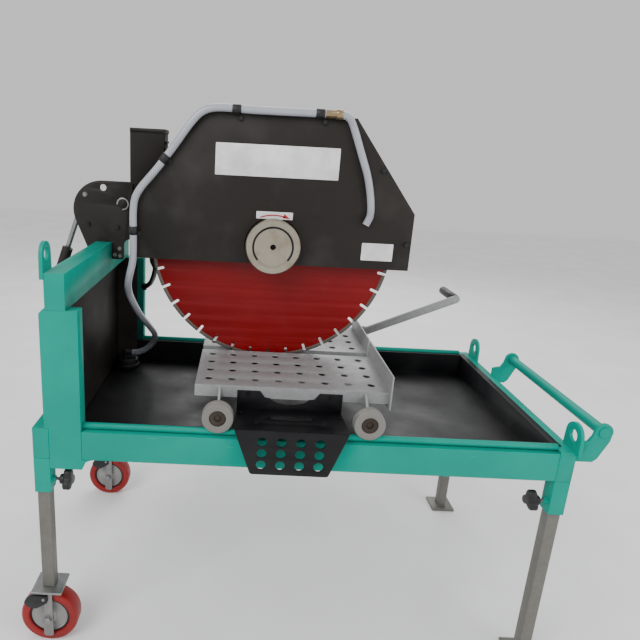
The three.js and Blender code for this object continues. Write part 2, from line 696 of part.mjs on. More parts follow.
function addPushBracket() {
  const { left, right, back, shelfZ, frontY, sheet } = BRACKET;
  const middle = (left + right) / 2;
  const ears = new THREE.Shape();
  ears.moveTo(left, shelfZ - sheet);
  ears.lineTo(right, shelfZ - sheet);
  ears.lineTo(right, TABLE_TOP - 10);
  ears.lineTo(right - 55, TABLE_TOP - 10);
  ears.lineTo(right - 67, TABLE_TOP - 26);
  ears.quadraticCurveTo(middle, shelfZ + 2, left + 70, TABLE_TOP - 26);
  ears.lineTo(left + 55, TABLE_TOP - 10);
  ears.lineTo(left, TABLE_TOP - 10);
  ears.closePath();
  const back0 = back - sheet;

  const shelf = block(left, right, frontY, back, shelfZ - sheet, shelfZ);
  const oval = new THREE.CylinderGeometry(13, 13, 12, 20)
    .rotateX(Math.PI / 2)
    .scale(4, 1, 1)
    .translate(middle + 4, 38, shelfZ);
  const shelfHoles = [left + 46, right - 44].map((x) => rodAlongZ(x, 8, 5, shelfZ - 8, shelfZ + 8, 10));

  const corner = 10;
  const front = new THREE.Shape();
  front.moveTo(left, shelfZ);
  front.lineTo(left + 38, -75 + corner);
  front.quadraticCurveTo(left + 40, -75, left + 40 + corner, -75);
  front.lineTo(right - 40 - corner, -75);
  front.quadraticCurveTo(right - 40, -75, right - 38, -75 + corner);
  front.lineTo(right, shelfZ);
  front.closePath();
  const columns = 4;
  const rows = 3;
  for (let column = 0; column < columns; column++) {
    for (let row = 0; row < rows; row++) {
      holeIn(front, middle + (column - (columns - 1) / 2) * 44, 8 - row * 29, 11);
    }
  }
  const pieces = [
    plateXZ(ears, back0, back, 8),
    shelf,
    plateXZ(front, frontY - sheet, frontY + 0.5, 6),
  ];
  addPiece("push_bracket", shaped(pieces, [oval, ...shelfHoles]), blackPaint);
}

// The push lever: a flat bar bolted outside the fence, with a round grip pointing to the back.
const LEVER = { y: 505, rootX: 312, rootZ: 112, tipX: 585, tipZ: 231, halfWidth: 12, thickness: 6 };

function addLever() {
  const { y, rootX, rootZ, tipX, tipZ, halfWidth, thickness } = LEVER;
  const rise = Math.atan2(tipZ - rootZ, tipX - rootX);
  const length = Math.hypot(tipX - rootX, tipZ - rootZ);
  const bar = new THREE.Shape();
  bar.absarc(0, 0, halfWidth, Math.PI / 2, 1.5 * Math.PI, false);
  bar.absarc(length, 0, halfWidth, -Math.PI / 2, Math.PI / 2, false);
  bar.closePath();
  holeIn(bar, 0, 0, 5.3);
  const flat = plateXZ(bar, 0, thickness, 8);
  const grip = rodAlongY(length, 0, 12, 1, 120, 14);
  addPiece("push_lever", shaped([flat, grip]).rotateY(-rise).translate(rootX, y, rootZ), galvanised);
}

// The lug and the bolt that carry the lever, fixed to the outside of the fence.
function leverLug() {
  const { y, rootX, rootZ, thickness } = LEVER;
  const lugFront = y + thickness + GAP;
  const lug = block(TABLE_RIGHT + 3, rootX + 14, lugFront, lugFront + 6, rootZ - 16, rootZ + 16);
  const bolt = rodAlongY(rootX, rootZ, 5, y - 6, y + thickness + 3, 12);
  return [lug, bolt];
}

// ---------------------------------------------------------------- cutting head
// The swing arm: a tube about the pivot pin, a deep side arm, the spindle's bearing housing, the motor's
// base plate and the lug that the tilt strut pulls on.
function addHeadArm() {
  const arm = new THREE.Shape();
  arm.absarc(PIVOT_X, PIVOT_Z, ARM_END_RADIUS, Math.PI / 2, 1.5 * Math.PI, false);
  arm.lineTo(-90, SPINDLE_Z - HOUSING_RADIUS + 2);
  arm.lineTo(0, SPINDLE_Z - HOUSING_RADIUS + 2);
  arm.lineTo(0, SPINDLE_Z + HOUSING_RADIUS - 2);
  arm.lineTo(-60, 488);
  arm.lineTo(-280, 488);
  arm.lineTo(-312, PIVOT_Z + ARM_END_RADIUS);
  arm.closePath();
  const pivotTube = rodAlongY(PIVOT_X, PIVOT_Z, 30, ARM_FRONT_Y, CHEEK_REAR_Y - 2, 24);
  const pin = rodAlongY(PIVOT_X, PIVOT_Z, PIN_RADIUS, CHEEK_FRONT_Y - 8, CHEEK_REAR_Y + 18, 20);
  const housing = rodAlongY(0, SPINDLE_Z, HOUSING_RADIUS, ARM_FRONT_Y - 4, ARM_REAR_Y + 66, 28);
  const bore = rodAlongY(0, SPINDLE_Z, 20 + GAP, ARM_FRONT_Y - 10, ARM_REAR_Y + 80, 20);
  const base = block(-282, -58, MOTOR_FRONT_Y + 6, MOTOR_FRONT_Y + 190, 488 - 6, 496);
  const brace = plateYZ(
    polygon([
      [ARM_REAR_Y - 1, 484],
      [ARM_REAR_Y - 1, 420],
      [MOTOR_FRONT_Y + 180, 484],
    ]),
    MOTOR_X - 5,
    MOTOR_X + 5,
  );

  const lug = new THREE.Shape();
  lug.absarc(STRUT_TOP.x, STRUT_TOP.z, 14, Math.PI / 2, 1.5 * Math.PI, false);
  lug.lineTo(PIVOT_X, PIVOT_Z - 24);
  lug.lineTo(PIVOT_X, PIVOT_Z + 20);
  lug.closePath();
  const lugRear = STRUT_Y - 12;
  const lugPlate = plateXZ(lug, lugRear - 10, lugRear, 8);
  const lugPin = rodAlongY(STRUT_TOP.x, STRUT_TOP.z, STRUT_PIN_RADIUS, lugRear - 4, STRUT_Y + 12);
  const armPlate = plateXZ(arm, ARM_FRONT_Y, ARM_REAR_Y, 12);
  const pieces = [armPlate, pivotTube, pin, housing, base, brace, lugPlate, lugPin];
  addPiece("head_arm", shaped(pieces, [bore]), blackPaint);
}

function guardOutline(inset, bottom) {
  const slopeInset = inset * 1.2;
  return polygon([
    [-GUARD_HALF_WIDTH + inset, bottom],
    [GUARD_HALF_WIDTH - inset, bottom],
    [GUARD_HALF_WIDTH - inset, GUARD_SHOULDER],
    [GUARD_HALF_TOP - slopeInset / 2, GUARD_TOP - inset],
    [-GUARD_HALF_TOP + slopeInset / 2, GUARD_TOP - inset],
    [-GUARD_HALF_WIDTH + inset, GUARD_SHOULDER],
  ]);
}

// One shell of the guard: a face sheet with folded walls that run back to the blade's plane.
function guardShell(faceY0, faceY1, wallY0, wallY1, throatRadius) {
  const face = plateXZ(guardOutline(0, GUARD_BOTTOM), faceY0, faceY1);
  const walls = plateXZ(guardOutline(0, GUARD_BOTTOM), wallY0, wallY1);
  const hollow = plateXZ(guardOutline(GUARD_SHEET, GUARD_BOTTOM - 20), wallY0 - 1, wallY1 + 1);
  const shell = joined([face]).add(joined([walls]).subtract(joined([hollow])));
  const throat = rodAlongY(0, SPINDLE_Z, throatRadius, faceY0 - 5, faceY1 + 5, 36);
  const mouthHalf = throatRadius * 0.8;
  const mouth = block(-mouthHalf, mouthHalf, faceY0 - 5, faceY1 + 5, GUARD_BOTTOM - 5, SPINDLE_Z - 40);
  return geometryOf(shell.subtract(joined([throat, mouth])));
}

function addGuard() {
  const split = 0.3;
  addPiece(
    "guard_front",
    guardShell(GUARD_FRONT_Y, GUARD_FRONT_Y + GUARD_SHEET, GUARD_FRONT_Y + 1, BLADE_Y - split, 74),
    blackPaint,
  );
  addPiece(
    "guard_rear",
    guardShell(GUARD_REAR_Y - GUARD_SHEET, GUARD_REAR_Y, BLADE_Y + split, GUARD_REAR_Y - 1, 64),
    blackPaint,
  );
}

// A diamond blade: a steel core with slots between its segments and a 60 mm bore.
function addBlade() {
  const outline = new THREE.Shape();
  const slotAngle = 3.6 / BLADE_RADIUS;
  const slotDepth = 24;
  const pitch = (2 * Math.PI) / BLADE_SLOTS;
  const firstSlot = -0.35 * pitch;
  const at = (radius, angle) => [radius * Math.cos(angle), SPINDLE_Z + radius * Math.sin(angle)];
  for (let i = 0; i < BLADE_SLOTS; i++) {
    const angle = firstSlot + i * pitch;
    const corners = [
      at(BLADE_RADIUS, angle - slotAngle),
      at(BLADE_RADIUS - slotDepth + 2.5, angle - slotAngle),
      at(BLADE_RADIUS - slotDepth, angle),
      at(BLADE_RADIUS - slotDepth + 2.5, angle + slotAngle),
      at(BLADE_RADIUS, angle + slotAngle),
      at(BLADE_RADIUS, angle + pitch / 2),
    ];
    corners.forEach(([x, z], k) => (i + k === 0 ? outline.moveTo(x, z) : outline.lineTo(x, z)));
  }
  outline.closePath();
  holeIn(outline, 0, SPINDLE_Z, 30.3);
  const half = BLADE_THICKNESS / 2;
  addPiece("blade", plateXZ(outline, BLADE_Y - half, BLADE_Y + half, 12), bladeRed);
}

// The outer flange is a thick turned drum with a ring groove and a centre hole in its face.
const FLANGE = { radius: 71, front: 268 };

function addOuterFlange() {
  const back = BLADE_Y - BLADE_THICKNESS / 2 - GAP;
  const { radius, front } = FLANGE;
  const drum = turnedAlongY(
    [
      [0, front + 10],
      [8, front + 10],
      [8, front],
      [50, front],
      [50, front + 2],
      [53.5, front + 2],
      [53.5, front],
      [radius - 2, front],
      [radius, front + 2],
      [radius, back],
      [30.3, back],
      [30.3, back - 15],
      [0, back - 15],
      [0, front + 10],
    ],
    0,
    SPINDLE_Z,
    36,
  );
  addPiece("outer_flange", drum, machinedSteel);
}

// The spindle: spigot through the blade, inner flange, two-groove pulley, shaft and end nut in one piece.
function addSpindle() {
  const bladeBack = BLADE_Y + BLADE_THICKNESS / 2 + GAP;
  const spigotFront = BLADE_Y - BLADE_THICKNESS / 2 - 14;
  const spindle = turnedAlongY(
    [
      [0, spigotFront],
      [29.9, spigotFront],
      [29.9, bladeBack],
      [60, bladeBack],
      [60, bladeBack + 12],
      [34, bladeBack + 14],
      [34, PULLEY_FRONT_Y],
      ...grooveProfile(PULLEY_FRONT_Y),
      [34, PULLEY_FRONT_Y + PULLEY_WIDTH],
      [20, PULLEY_FRONT_Y + PULLEY_WIDTH + 6],
      [20, ARM_REAR_Y + 70],
      [32, ARM_REAR_Y + 70],
      [32, ARM_REAR_Y + 84],
      [0, ARM_REAR_Y + 84],
    ],
    0,
    SPINDLE_Z,
    24,
  );
  addPiece("spindle", spindle, machinedSteel);
}

// The rim of a two-groove pulley, as [radius, y] pairs from its front edge to its back edge.
function grooveProfile(y0) {
  const outer = PULLEY_RADIUS;
  const root = PULLEY_RADIUS - 11;
  const profile = [[outer, y0]];
  for (const centre of [y0 + PULLEY_WIDTH * 0.27, y0 + PULLEY_WIDTH * 0.73]) {
    profile.push([outer, centre - 7], [root, centre - 3.5], [root, centre + 3.5], [outer, centre + 7]);
  }
  profile.push([outer, y0 + PULLEY_WIDTH]);
  return profile;
}

function addMotorPulley() {
  const y0 = PULLEY_FRONT_Y;
  const profile = [
    [14.3, y0 + 1],
    [28, y0 + 1],
    ...grooveProfile(y0),
    [28, y0 + PULLEY_WIDTH + 2],
    [14.3, y0 + PULLEY_WIDTH + 2],
    [14.3, y0 + 1],
  ];
  addPiece("motor_pulley", turnedAlongY(profile, MOTOR_X, MOTOR_Z, 24), plainSteel);
}

// The pair of V-belts, drawn as one flat loop that rides just off both pulleys' rims.
function addBelt() {
  const outer = beltLoop(PULLEY_RADIUS + 5);
  outer.holes.push(beltLoop(PULLEY_RADIUS + 0.8));
  const front = PULLEY_FRONT_Y + 2;
  const back = PULLEY_FRONT_Y + PULLEY_WIDTH - 2;
  addPiece("drive_belt", plateXZ(outer, front, back, 10), beltRubber);
}

// The outline of a loop at the given distance round the line between the two pulley centres.
function beltLoop(radius) {
  const run = Math.atan2(SPINDLE_Z - MOTOR_Z, -MOTOR_X);
  const loop = new THREE.Shape();
  loop.absarc(0, SPINDLE_Z, radius, run - Math.PI / 2, run + Math.PI / 2, false);
  loop.absarc(MOTOR_X, MOTOR_Z, radius, run + Math.PI / 2, run + 1.5 * Math.PI, false);
  loop.closePath();
  return loop;
}

function addBeltCover() {
  const y0 = GUARD_REAR_Y + GAP + 2;
  const y1 = MOTOR_FRONT_Y - 10;
  const ring = beltLoop(PULLEY_RADIUS + 14);
  ring.holes.push(beltLoop(PULLEY_RADIUS + 11));
  const backPlate = beltLoop(PULLEY_RADIUS + 14);
  const wall = plateXZ(ring, y0, y1 - 4, 10);
  const back = plateXZ(backPlate, y1 - 7, y1 - 4, 10);
  const shaftHole = rodAlongY(MOTOR_X, MOTOR_Z, 32, y1 - 20, y1 + 5, 20);
  const spindleHole = rodAlongY(0, SPINDLE_Z, 38, y1 - 20, y1 + 5, 20);
  addPiece("belt_cover", shaped([wall, back], [shaftHole, spindleHole]), blackPaint);
}

// A foot-mounted motor with cooling ribs, a terminal box and a fan cowl at the back.
function addMotor() {
  const y0 = MOTOR_FRONT_Y;
  const y1 = y0 + MOTOR_LENGTH;
  const body = turnedAlongY(
    [
      [0, y0],
      [60, y0],
      [MOTOR_RADIUS, y0 + 14],
      [MOTOR_RADIUS, y1 - 60],
      [MOTOR_RADIUS + 6, y1 - 58],
      [MOTOR_RADIUS + 6, y1 - 8],
      [MOTOR_RADIUS - 12, y1],
      [0, y1],
    ],
    MOTOR_X,
    MOTOR_Z,
    24,
  );
  const shaft = rodAlongY(MOTOR_X, MOTOR_Z, 14, PULLEY_FRONT_Y, y0 + 2, 16);
  const ribs = [];
  for (let degrees = 20; degrees <= 160; degrees += 20) {
    for (const side of [0, 180]) {
      const rib = block(MOTOR_RADIUS - 3, MOTOR_RADIUS + 10, y0 + 24, y1 - 64, -2, 2);
      rib.rotateY(((90 - degrees + side) * Math.PI) / 180);
      ribs.push(rib.translate(MOTOR_X, 0, MOTOR_Z));
    }
  }
  const feetBottom = 496 + GAP;
  const foot = (x) => block(x - 16, x + 16, y0 + 30, y1 - 76, feetBottom, feetBottom + 40);
  const boxBottom = MOTOR_Z + MOTOR_RADIUS - 12;
  const terminals = block(MOTOR_X - 40, MOTOR_X + 40, y0 + 50, y0 + 130, boxBottom, MOTOR_Z + 118);
  const parts = [body, shaft, ...ribs, foot(MOTOR_X - 62), foot(MOTOR_X + 62), terminals];
  const belowFeet = block(MOTOR_X - 120, MOTOR_X + 120, y0, y1, feetBottom - 20, feetBottom);
  addPiece("motor", shaped(parts, [belowFeet]), motorGrey);
}

// ---------------------------------------------------------------- switch box
const SWITCH_BOX = {
  left: -394,
  right: -303,
  front: 400,
  back: 486,
  bottom: PIVOT_Z + ARM_END_RADIUS + GAP,
  top: 683,
};
const BUTTON_X = -348;
const BUTTON_START_Z = 648;
const BUTTON_STOP_Z = 606;
const LOUVRES = 5;

// The box stands on the head arm. Its buttons and its cable gland are on its back.
function addSwitchBox() {
  const { left, right, front, back, bottom, top } = SWITCH_BOX;
  const body = block(left, right, front + 2, back, bottom, top - 10);
  const lid = block(left, right + 2, front, back + 2, top - 10.5, top);
  const buttons = [BUTTON_START_Z, BUTTON_STOP_Z];
  const collars = buttons.map((z) => rodAlongY(BUTTON_X, z, 15, back - 1, back + 6, 18));
  const bores = buttons.map((z) => rodAlongY(BUTTON_X, z, 11.5, back - 12, back + 8, 18));
  const louvres = Array.from({ length: LOUVRES }, (_, i) => {
    const z = bottom + 40 + i * 18;
    return block(right - 1, right + 5, front + 16, back - 12, z, z + 6);
  });
  const glandZ = bottom + 30;
  const gland = rodAlongY(BUTTON_X, glandZ, 10, back - 1, back + 16, 6);
  bores.push(rodAlongY(BUTTON_X, glandZ, 5, back + 2, back + 17, 12));
  addPiece("switch_box", shaped([body, lid, ...collars, ...louvres, gland], bores), blackPaint);
}

function addButtons() {
  const face = SWITCH_BOX.back;
  const startCap = rodAlongY(BUTTON_X, BUTTON_START_Z, 11, face - 6, face + 9, 18);
  addPiece("start_button", startCap, buttonGreen);
  const stem = rodAlongY(BUTTON_X, BUTTON_STOP_Z, 11, face - 6, face + 11, 18);
  const head = rodAlongY(BUTTON_X, BUTTON_STOP_Z, 17, face + 10.5, face + 19, 20);
  addPiece("stop_button", shaped([stem, head]), buttonRed);
}

// ---------------------------------------------------------------- water hose and motor cable
const HOSE_JOINT_Z = 428; // the head's hose ends here, level with the clamp on the guard's edge
const HOSE_RISE_X = -364;
const HOSE_TOP_Z = GUARD_TOP + 6;
const FITTING = { left: 110, right: 152, socket: 140 };

function addHoses() {
  const lower = [
    [PUMP.x + 16 + GAP, PUMP.y, PUMP.top + 16],
    [PUMP.x + 28, PUMP.y, PUMP.top + 16],
    [PUMP.x + 44, PUMP.y, PUMP.top + 20],
    [-376, 573, -1],
    [-352, 556, 28],
    [-342, 522, 65],
    [-351, 470, 109],
    [-365, 410, 157],
    [-376, 352, 211],
    [-382, 320, 250],
    [-380, 298, 280],
    [-374, HOSE_Y, 308],
    [HOSE_RISE_X - 2, HOSE_Y, 344],
    [HOSE_RISE_X, HOSE_Y, 385],
    [HOSE_RISE_X, HOSE_Y, HOSE_JOINT_Z - GAP],
  ];
  const upper = [
    [HOSE_RISE_X, HOSE_Y, HOSE_JOINT_Z],
    [HOSE_RISE_X, HOSE_Y, 472],
    [-360, HOSE_Y, 506],
    [-348, HOSE_Y, 530],
    [-301, HOSE_Y, 588],
    [-257, HOSE_Y, 648],
    [-217, HOSE_Y, 704],
    [-196, HOSE_Y, 725],
    [-168, HOSE_Y, HOSE_TOP_Z],
    [-60, HOSE_Y, HOSE_TOP_Z],
    [FITTING.left - GAP, HOSE_Y, HOSE_TOP_Z],
  ];
  const drop = [
    [FITTING.socket + GAP, HOSE_Y, HOSE_TOP_Z],
    [FITTING.right - 2, HOSE_Y, HOSE_TOP_Z],
    [FITTING.right + 6, HOSE_Y, HOSE_TOP_Z - 1],
    [172, HOSE_Y, 726],
    [183, HOSE_Y, 706],
    [204, HOSE_Y, 655],
    [232, HOSE_Y, 582],
    [245, HOSE_Y, 521],
    [246, HOSE_Y, 492],
    [237, HOSE_Y, 469],
  ];
  addPiece("hose_lower", tubeThrough(lower, HOSE_RADIUS, 40), hoseClear);
  addPiece("hose_upper", tubeThrough(upper, HOSE_RADIUS, 44), hoseClear);
  addPiece("hose_drop", tubeThrough(drop, HOSE_RADIUS, 16), hoseClear);
}

// The brass fitting between the two hoses, with a collar that the second hose is pushed into.
function addHoseFitting() {
  const { left, right, socket } = FITTING;
  const body = rodAlongX(HOSE_Y, HOSE_TOP_Z, 9.8, left, socket, 6);
  const collar = rodAlongX(HOSE_Y, HOSE_TOP_Z, 11.8, socket - 4, right, 14);
  const bore = rodAlongX(HOSE_Y, HOSE_TOP_Z, HOSE_RADIUS + 0.8, socket, right + 1, 14);
  addPiece("hose_fitting", shaped([body, collar], [bore]), brass);
}

const CABLE_RADIUS = 8;

// The motor's cable leaves the head behind the guard and hangs in a loop to the rear column.
function addMotorCable() {
  const route = [
    [-312, 437, 384],
    [-326, 442, 362],
    [-338, 449, 338],
    [-342, 463, 314],
    [-338, 491, 288],
    [-347, 532, 259],
    [-357, 568, 236],
    [-369, 600, 214],
    [-385, 624, 197],
    [REAR_COLUMN_RIGHT + 7, 633, 192],
  ];
  addPiece("motor_cable", tubeThrough(route, CABLE_RADIUS, 36, 8), blackPlastic);
}

// ---------------------------------------------------------------- assembly
addRails();
addTrackBars();
addColumns();
addTopBeam();
CORNERS.forEach(addLegCorner);
CORNERS.filter(({ name }) => name.endsWith("left")).forEach(addCaster);
addCarryHandle();
addTray();
addSplashPanel();
addPump();
addCheeks();
addStrut();
addCartTable();
WHEELS.forEach(addCartWheel);
addPushBracket();
addLever();
addHeadArm();
addGuard();
addBlade();
addOuterFlange();
addSpindle();
addMotorPulley();
addBelt();
addBeltCover();
addMotor();
addSwitchBox();
addButtons();
addHoses();
addHoseFitting();
addMotorCable();

// The origin is the middle of the footprint, at floor level.
const extent = new THREE.Box3().setFromObject(saw);
const centre = extent.getCenter(new THREE.Vector3());
saw.position.set(-centre.x, -centre.y, -extent.min.z);

export default saw;
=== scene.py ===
"""The looks of a masonry saw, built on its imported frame."""

import math

import bmesh
import bpy
from mathutils import Matrix, Vector


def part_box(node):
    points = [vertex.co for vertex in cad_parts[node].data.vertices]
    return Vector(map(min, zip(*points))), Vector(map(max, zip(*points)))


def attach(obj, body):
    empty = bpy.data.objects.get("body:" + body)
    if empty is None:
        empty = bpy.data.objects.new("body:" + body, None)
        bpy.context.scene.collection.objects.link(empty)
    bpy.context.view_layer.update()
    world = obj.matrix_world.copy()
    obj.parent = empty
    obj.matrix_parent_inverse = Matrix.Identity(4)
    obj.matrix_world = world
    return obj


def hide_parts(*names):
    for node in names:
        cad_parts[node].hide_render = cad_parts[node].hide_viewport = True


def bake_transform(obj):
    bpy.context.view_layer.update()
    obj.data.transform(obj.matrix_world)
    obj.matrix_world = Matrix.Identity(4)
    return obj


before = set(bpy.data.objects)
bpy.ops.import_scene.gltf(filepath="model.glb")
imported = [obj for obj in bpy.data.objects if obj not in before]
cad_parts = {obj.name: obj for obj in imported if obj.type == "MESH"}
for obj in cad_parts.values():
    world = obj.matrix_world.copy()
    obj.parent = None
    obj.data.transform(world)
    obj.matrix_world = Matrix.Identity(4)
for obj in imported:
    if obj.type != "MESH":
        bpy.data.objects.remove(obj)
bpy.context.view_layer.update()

MM = 0.001
LEFT_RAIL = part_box("left_rail")
RAIL_LEFT_X = -543  # the left rail's outer side on the stand's own datum, in millimetres
BAR_FRONT_Y = 19  # the middle of the front rail, of its track bar and of the front legs
BAR_REAR_Y = 666
CORNERS = ("front_left", "rear_left", "front_right", "rear_right")


def at(x, y, z):
    """A point on the stand's datum in millimetres, as metres in the row frame.

    X = 0 is under the spindle, Y = 0 is the front rail's front face and Z = 0 is the end rails' top.
    """
    low, high = LEFT_RAIL
    return Vector((low.x + (x - RAIL_LEFT_X) * MM, low.y + y * MM, high.z + z * MM))


# ---------------------------------------------------------------- camera, light and floor
IMAGE_WIDTH = 640
FOCAL_PIXELS = 566.5
VIEW_CENTRE = (247.0, 307.7)
CAMERA_PLACE = (-78.5, -1181.5, 638.9)


def make_camera():
    yaw, pitch, roll = 0.0135, 0.2699, -0.0525
    forward = Vector((math.sin(yaw) * math.cos(pitch), math.cos(yaw) * math.cos(pitch), -math.sin(pitch)))
    level = Vector((math.cos(yaw), -math.sin(yaw), 0))
    down = forward.cross(level)
    right = math.cos(roll) * level + math.sin(roll) * down
    down = math.cos(roll) * down - math.sin(roll) * level
    data = bpy.data.cameras.new("camera")
    data.sensor_width = 36
    data.lens = FOCAL_PIXELS / IMAGE_WIDTH * data.sensor_width
    data.shift_x = 0.5 - VIEW_CENTRE[0] / IMAGE_WIDTH
    data.shift_y = VIEW_CENTRE[1] / IMAGE_WIDTH - 0.5
    data.clip_end = 50
    camera = bpy.data.objects.new("camera", data)
    bpy.context.collection.objects.link(camera)
    turn = Matrix((right, -down, -forward)).transposed().to_4x4()
    camera.matrix_world = Matrix.Translation(at(*CAMERA_PLACE)) @ turn
    bpy.context.scene.camera = camera


def add_light(name, place, target, size, power):
    data = bpy.data.lights.new(name, "AREA")
    data.shape = "SQUARE"
    data.size = size
    data.energy = power
    light = bpy.data.objects.new(name, data)
    bpy.context.collection.objects.link(light)
    light.location = place
    light.rotation_euler = (Vector(target) - Vector(place)).to_track_quat("-Z", "Y").to_euler()


def make_studio():
    middle = (0, 0, 0.7)
    add_light("key_light", (-2.2, -3.0, 3.6), middle, 2.5, 115)
    add_light("fill_light", (3.2, -2.2, 2.2), middle, 3.0, 50)
    add_light("back_light", (0.5, 3.4, 3.2), middle, 3.0, 80)
    world = bpy.data.worlds.new("studio")
    world.use_nodes = True
    background = world.node_tree.nodes["Background"]
    background.inputs["Color"].default_value = (1, 1, 1, 1)
    background.inputs["Strength"].default_value = 0.75
    bpy.context.scene.world = world
    floor = mesh_piece("floor", [(-9, -9, 0), (9, -9, 0), (9, 9, 0), (-9, 9, 0)], [(0, 1, 2, 3)])
    finish = new_material("floor_paper", (0.93, 0.93, 0.93), 0.9)
    mottle(finish, 3, 0.02)
    floor.data.materials.append(finish.material)


# ---------------------------------------------------------------- materials
class Finish:
    """A material with its principled shader and a running colour, bump height and roughness."""

    def __init__(self, name, color, roughness, metallic):
        self.material = bpy.data.materials.new(name)
        self.material.use_nodes = True
        self.tree = self.material.node_tree
        self.shader = self.tree.nodes["Principled BSDF"]
        self.base = (*color, 1)
        self.shader.inputs["Base Color"].default_value = self.base
        self.shader.inputs["Roughness"].default_value = roughness
        self.shader.inputs["Metallic"].default_value = metallic
        self.roughness = roughness
        self.color_socket = None
        self.place = self.node("ShaderNodeTexCoord").outputs["Object"]

    def node(self, kind, **inputs):
        made = self.tree.nodes.new(kind)
        for key, value in inputs.items():
            made.inputs[key.replace("_", " ")].default_value = value
        return made

    def link(self, source, target):
        self.tree.links.new(source, target)

    def noise(self, scale, detail=4.0, stretch=None):
        made = self.node("ShaderNodeTexNoise", Scale=scale, Detail=detail)
        self.link(self.stretched(stretch), made.inputs["Vector"])
        return made.outputs["Fac"]

    def stretched(self, stretch):
        if stretch is None:
            return self.place
        mapping = self.node("ShaderNodeMapping", Scale=stretch)
        self.link(self.place, mapping.inputs["Vector"])
        return mapping.outputs["Vector"]

    def ramp(self, factor, low, high, from_value=0.0, to_value=1.0):
        made = self.node("ShaderNodeMapRange")
        made.inputs["From Min"].default_value = low
        made.inputs["From Max"].default_value = high
        made.inputs["To Min"].default_value = from_value
        made.inputs["To Max"].default_value = to_value
        self.link(factor, made.inputs["Value"])
        return made.outputs["Result"]

    def blend_color(self, factor, color):
        """Mixes a second colour over what the surface has so far."""
        mix = self.tree.nodes.new("ShaderNodeMix")
        mix.data_type = "RGBA"
        if self.color_socket is None:
            mix.inputs[6].default_value = self.base
        else:
            self.link(self.color_socket, mix.inputs[6])
        mix.inputs[7].default_value = (*color, 1)
        self.link(factor, mix.inputs[0])
        self.color_socket = mix.outputs[2]
        self.link(self.color_socket, self.shader.inputs["Base Color"])

    def vary_roughness(self, factor, low, high):
        self.link(self.ramp(factor, 0.3, 0.7, low, high), self.shader.inputs["Roughness"])

    def bump(self, height, strength, distance=0.0004):
        made = self.node("ShaderNodeBump", Strength=strength, Distance=distance)
        self.link(height, made.inputs["Height"])
        normal = self.shader.inputs["Normal"]
        if normal.is_linked:
            self.link(normal.links[0].from_socket, made.inputs["Normal"])
        self.link(made.outputs["Normal"], normal)


def srgb(red, green, blue):
    """Linear colour from the 0 to 255 values a screen shows."""
    return tuple(
        value / 12.92 / 255 if value <= 10 else ((value / 255 + 0.055) / 1.055) ** 2.4
        for value in (red, green, blue)
    )


def new_material(name, color, roughness, metallic=0.0):
    return Finish(name, color, roughness, metallic)


def shade(color, amount):
    return tuple(min(1.0, channel * amount) for channel in color)


def mottle(finish, scale, amount):
    """Slow light and dark variation over the surface."""
    base = finish.base[:3]
    cloud = finish.noise(scale, 5.0)
    finish.blend_color(finish.ramp(cloud, 0.45, 0.75), shade(base, 1 - amount * 2.2))
    finish.blend_color(finish.ramp(cloud, 0.5, 0.3, 0, 0.8), shade(base, 1 + amount * 2.2))


STONE_DUST = (0.45, 0.43, 0.4)


def painted(name, color, roughness, dust_amount=0.12, texture=0.25, scratches=0.25, shine=0.28):
    """Sprayed paint: orange peel, slow variation, a film of stone dust and a few worn scratches."""
    finish = new_material(name, color, roughness)
    finish.shader.inputs["Specular IOR Level"].default_value = shine
    mottle(finish, 4, 0.06)
    film = finish.noise(9, 8.0)
    finish.blend_color(finish.ramp(film, 0.5, 0.85, 0, dust_amount * 2), STONE_DUST)
    scratch = finish.noise(60, 2.0, (0.15, 1.0, 1.6))
    finish.blend_color(finish.ramp(scratch, 0.735, 0.76, 0, scratches), shade(color, 1.8))
    finish.vary_roughness(film, roughness - 0.07, roughness + 0.14)
    finish.bump(finish.noise(420, 2.0), texture, 0.0003)
    finish.bump(film, 0.15, 0.001)
    return finish.material


def metal(name, color, roughness, spangle=0.0, streak=None, grime=0.25, metallic=0.85):
    """Bare or zinc-coated steel, with spangle or drawn streaks and dull grime."""
    finish = new_material(name, color, roughness, metallic)
    if spangle:
        cells = finish.node("ShaderNodeTexVoronoi", Scale=110)
        finish.link(finish.place, cells.inputs["Vector"])
        grey = finish.node("ShaderNodeSeparateColor")
        finish.link(cells.outputs["Color"], grey.inputs["Color"])
        finish.blend_color(finish.ramp(grey.outputs[0], 0.0, 1.0, 0, spangle), shade(color, 0.55))
    if streak:
        lines = finish.noise(90, 3.0, streak)
        finish.blend_color(finish.ramp(lines, 0.4, 0.7, 0, 0.5), shade(color, 0.7))
        finish.bump(lines, 0.25, 0.0003)
    cloud = finish.noise(7, 7.0)
    finish.blend_color(finish.ramp(cloud, 0.5, 0.8, 0, grime), (0.16, 0.14, 0.12))
    finish.vary_roughness(cloud, roughness - 0.08, roughness + 0.18)
    finish.bump(finish.noise(260, 3.0), 0.12, 0.0003)
    return finish.material


